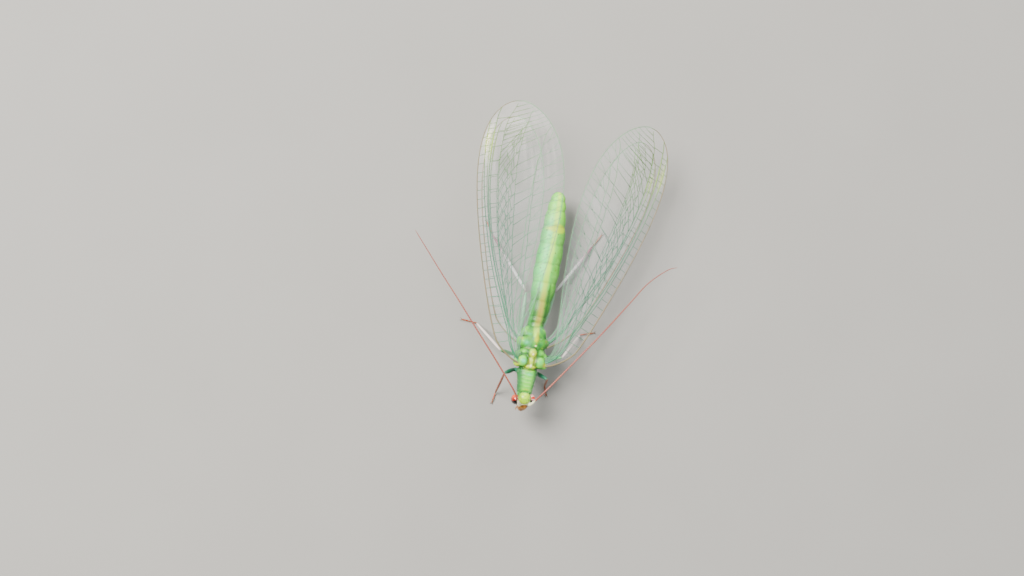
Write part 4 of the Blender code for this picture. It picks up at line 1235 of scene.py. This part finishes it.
# margin as s, number of hairs and share of the full length
FRINGES = ((0.0, 170, 0.75), (1.0, 230, 1.0))
FRINGE_STEPS = 500
HAIRY_VEINS = ("subcosta", "radius", "sector", "inner", "outer")
VEIN_HAIRS = 70
BODY_HAIRS = 2600
SHIN_HAIRS = 60
TOE_HAIRS = 7
LEG_RADIUS = 0.035
EYE_CLEARANCE = 1.15


def level_gaps(points, count):
    """Indices of count points spaced evenly by length along a line."""
    reach = np.concatenate(((0.0,), np.cumsum(np.linalg.norm(np.diff(points, axis=0), axis=1))))
    return np.interp(np.linspace(0.0, reach[-1], count), reach, np.arange(len(points)))


def grow(name, beds, thick, droop):
    """Add hairs from several beds, each with its roots, leans, lengths and homes, as one piece."""
    roots, leans, lengths, homes = (np.concatenate(column) for column in zip(*beds))
    points, faces, patches = hairs(roots, leans, lengths, thick, homes, droop)
    points[:, 2] = np.maximum(points[:, 2], 0.002)
    add_piece(name, points, faces, hair_paint, (), None, patches)


print("hairs along the margins of a wing:", sum(count for _, count, _ in FRINGES))


# %% Hairs of the wings
def wing_homes(t, s):
    """Places of wing hairs on the bake map."""
    return np.stack((t * 0.9, 0.02 + 0.9 * s), axis=1)


for (kind, side_name), wing in wings.items():
    beds = []
    fine_t = tip_steps(FRINGE_STEPS, 0.06)
    for s, count, share in FRINGES:
        place = level_gaps(wing.at(fine_t, s), count)
        t = np.interp(place, np.arange(FRINGE_STEPS), fine_t)
        root = wing.at(t, s)
        lean = unit(root - wing.at(t, 0.5)) + 0.7 * wing.along + dice.normal(0, 0.12, (count, 3))
        beds.append((root, lean, dice.uniform(0.10, 0.16, count) * share, wing_homes(t, np.full(count, s))))
    for name in HAIRY_VEINS:
        pick = dice.uniform(0.08, 0.97, VEIN_HAIRS) * (LONG_ROWS - 1)
        line = vein_maps[(kind, side_name)][name]
        t, s = (np.interp(pick, np.arange(LONG_ROWS), column) for column in line.T)
        root = wing.at(t, s) + wing.up * VEIN_RADII[name] * 0.5
        lean = 0.55 * wing.up + 0.8 * wing.along + dice.normal(0, 0.15, (VEIN_HAIRS, 3))
        beds.append((root, lean, dice.uniform(0.06, 0.11, VEIN_HAIRS), wing_homes(t, s)))
    grow(kind + "_" + side_name + "_hairs", beds, 0.0045, 0.05)

# %% Hairs of the body
# on the upper skin, leaning back from its own outward direction
rows = dice.integers(30, len(row_y) - 30, BODY_HAIRS)
columns = dice.integers(0, COLUMNS, BODY_HAIRS)
above = np.cos(turn[0, columns]) > -0.2
keep = above & (dice.uniform(size=BODY_HAIRS) < np.where(row_y[rows] < ABDOMEN_START, 0.75, 0.40))
rows, columns = rows[keep], columns[keep]
roots = skin[rows, columns]
normal = unit(np.cross(skin[rows + 1, columns] - skin[rows - 1, columns],
                       skin[rows, (columns + 1) % COLUMNS] - skin[rows, columns - 1]))
normal = normal * np.sign((normal * rays[rows, columns]).sum(axis=1, keepdims=True))
free = np.ones(len(roots), dtype=bool)
for side in SIDES.values():
    free &= np.linalg.norm((roots - HEAD - EYE_PLACE * (side, 1.0, 1.0)) / EYE, axis=1) > EYE_CLEARANCE
roots, normal = roots[free], normal[free]
lean = normal + (0.0, 0.7, 0.0) + dice.normal(0, 0.2, roots.shape)
homes = np.stack((rows[free] / len(row_y), columns[free] / COLUMNS), axis=1) * 0.96
bed = (roots - normal * 0.01, lean, dice.uniform(0.07, 0.15, len(roots)), homes)
grow("body_hairs", [bed], 0.004, 0.25)

# %% Hairs of the legs
# all round every shin and foot, leaning towards the claws
beds = []
for number, (starts, ends, part) in enumerate(leg_rows):
    for k in np.flatnonzero(part != FEMUR_PART):
        count = SHIN_HAIRS if part[k] == SHIN_PART else TOE_HAIRS
        f = dice.uniform(0.06, 0.96, count)[:, None]
        axis = unit(ends[k] - starts[k])
        around = unit(np.cross(dice.normal(size=(count, 3)), axis))
        if part[k] == FOOT_PART:
            around[:, 2] = np.abs(around[:, 2])
        root = starts[k] + (ends[k] - starts[k]) * f + around * LEG_RADIUS
        homes = np.stack((f[:, 0] * 0.1 + number * 0.15, np.full(count, k / 12)), axis=1)
        beds.append((root, around * 0.7 + axis, dice.uniform(0.05, 0.09, count), homes))
grow("leg_hairs", beds, 0.004, 0.0)

# %% [markdown]
# ## Floor and light
# A plain pale floor and large soft lamps let the green read truly and give every vein a faint shadow.

# %% Floor and light
FLOOR_HALF = 400.0
corners = np.array(((-1, -1, 0), (1, -1, 0), (1, 1, 0), (-1, 1, 0))) * FLOOR_HALF * MM
mesh = bpy.data.meshes.new("floor")
mesh.from_pydata(corners.tolist(), [], [(0, 1, 2, 3)])
floor = bpy.data.objects.new("floor", mesh)
bpy.context.scene.collection.objects.link(floor)
paint = Paint("floor_card", roughness=0.85)
mesh.materials.append(paint.feed(base_color=paint.mix(paint.noise(0.15, 2.0), "96948f", "9c9a95")))


def lamp(name, place, size, power, colour):
    """A square soft lamp in millimetres that faces the insect."""
    light = bpy.data.lights.new(name, "AREA")
    light.size = size * MM
    light.energy = power
    light.color = colour
    holder = bpy.data.objects.new(name, light)
    place = Vector(place) * MM
    aim = (Vector((0.0, 0.0, 2.0 * MM)) - place).to_track_quat("-Z", "Y").to_matrix().to_4x4()
    holder.matrix_world = Matrix.Translation(place) @ aim
    bpy.context.scene.collection.objects.link(holder)


lamp("key", (-120.0, 60.0, 170.0), 100.0, 1.50, (1.0, 0.97, 0.93))
lamp("fill", (160.0, -80.0, 120.0), 160.0, 0.24, (0.92, 0.96, 1.0))
lamp("back", (20.0, 190.0, 90.0), 120.0, 0.34, (1.0, 1.0, 1.0))
WORLD_COLOUR = (0.92, 0.94, 0.96, 1.0)
WORLD_STRENGTH = 0.24
world = bpy.data.worlds.new("studio")
bpy.context.scene.world = world
world.use_nodes = True
backdrop = world.node_tree.nodes["Background"]
backdrop.inputs["Color"].default_value = WORLD_COLOUR
backdrop.inputs["Strength"].default_value = WORLD_STRENGTH
print("lamps:", len(bpy.data.lights))
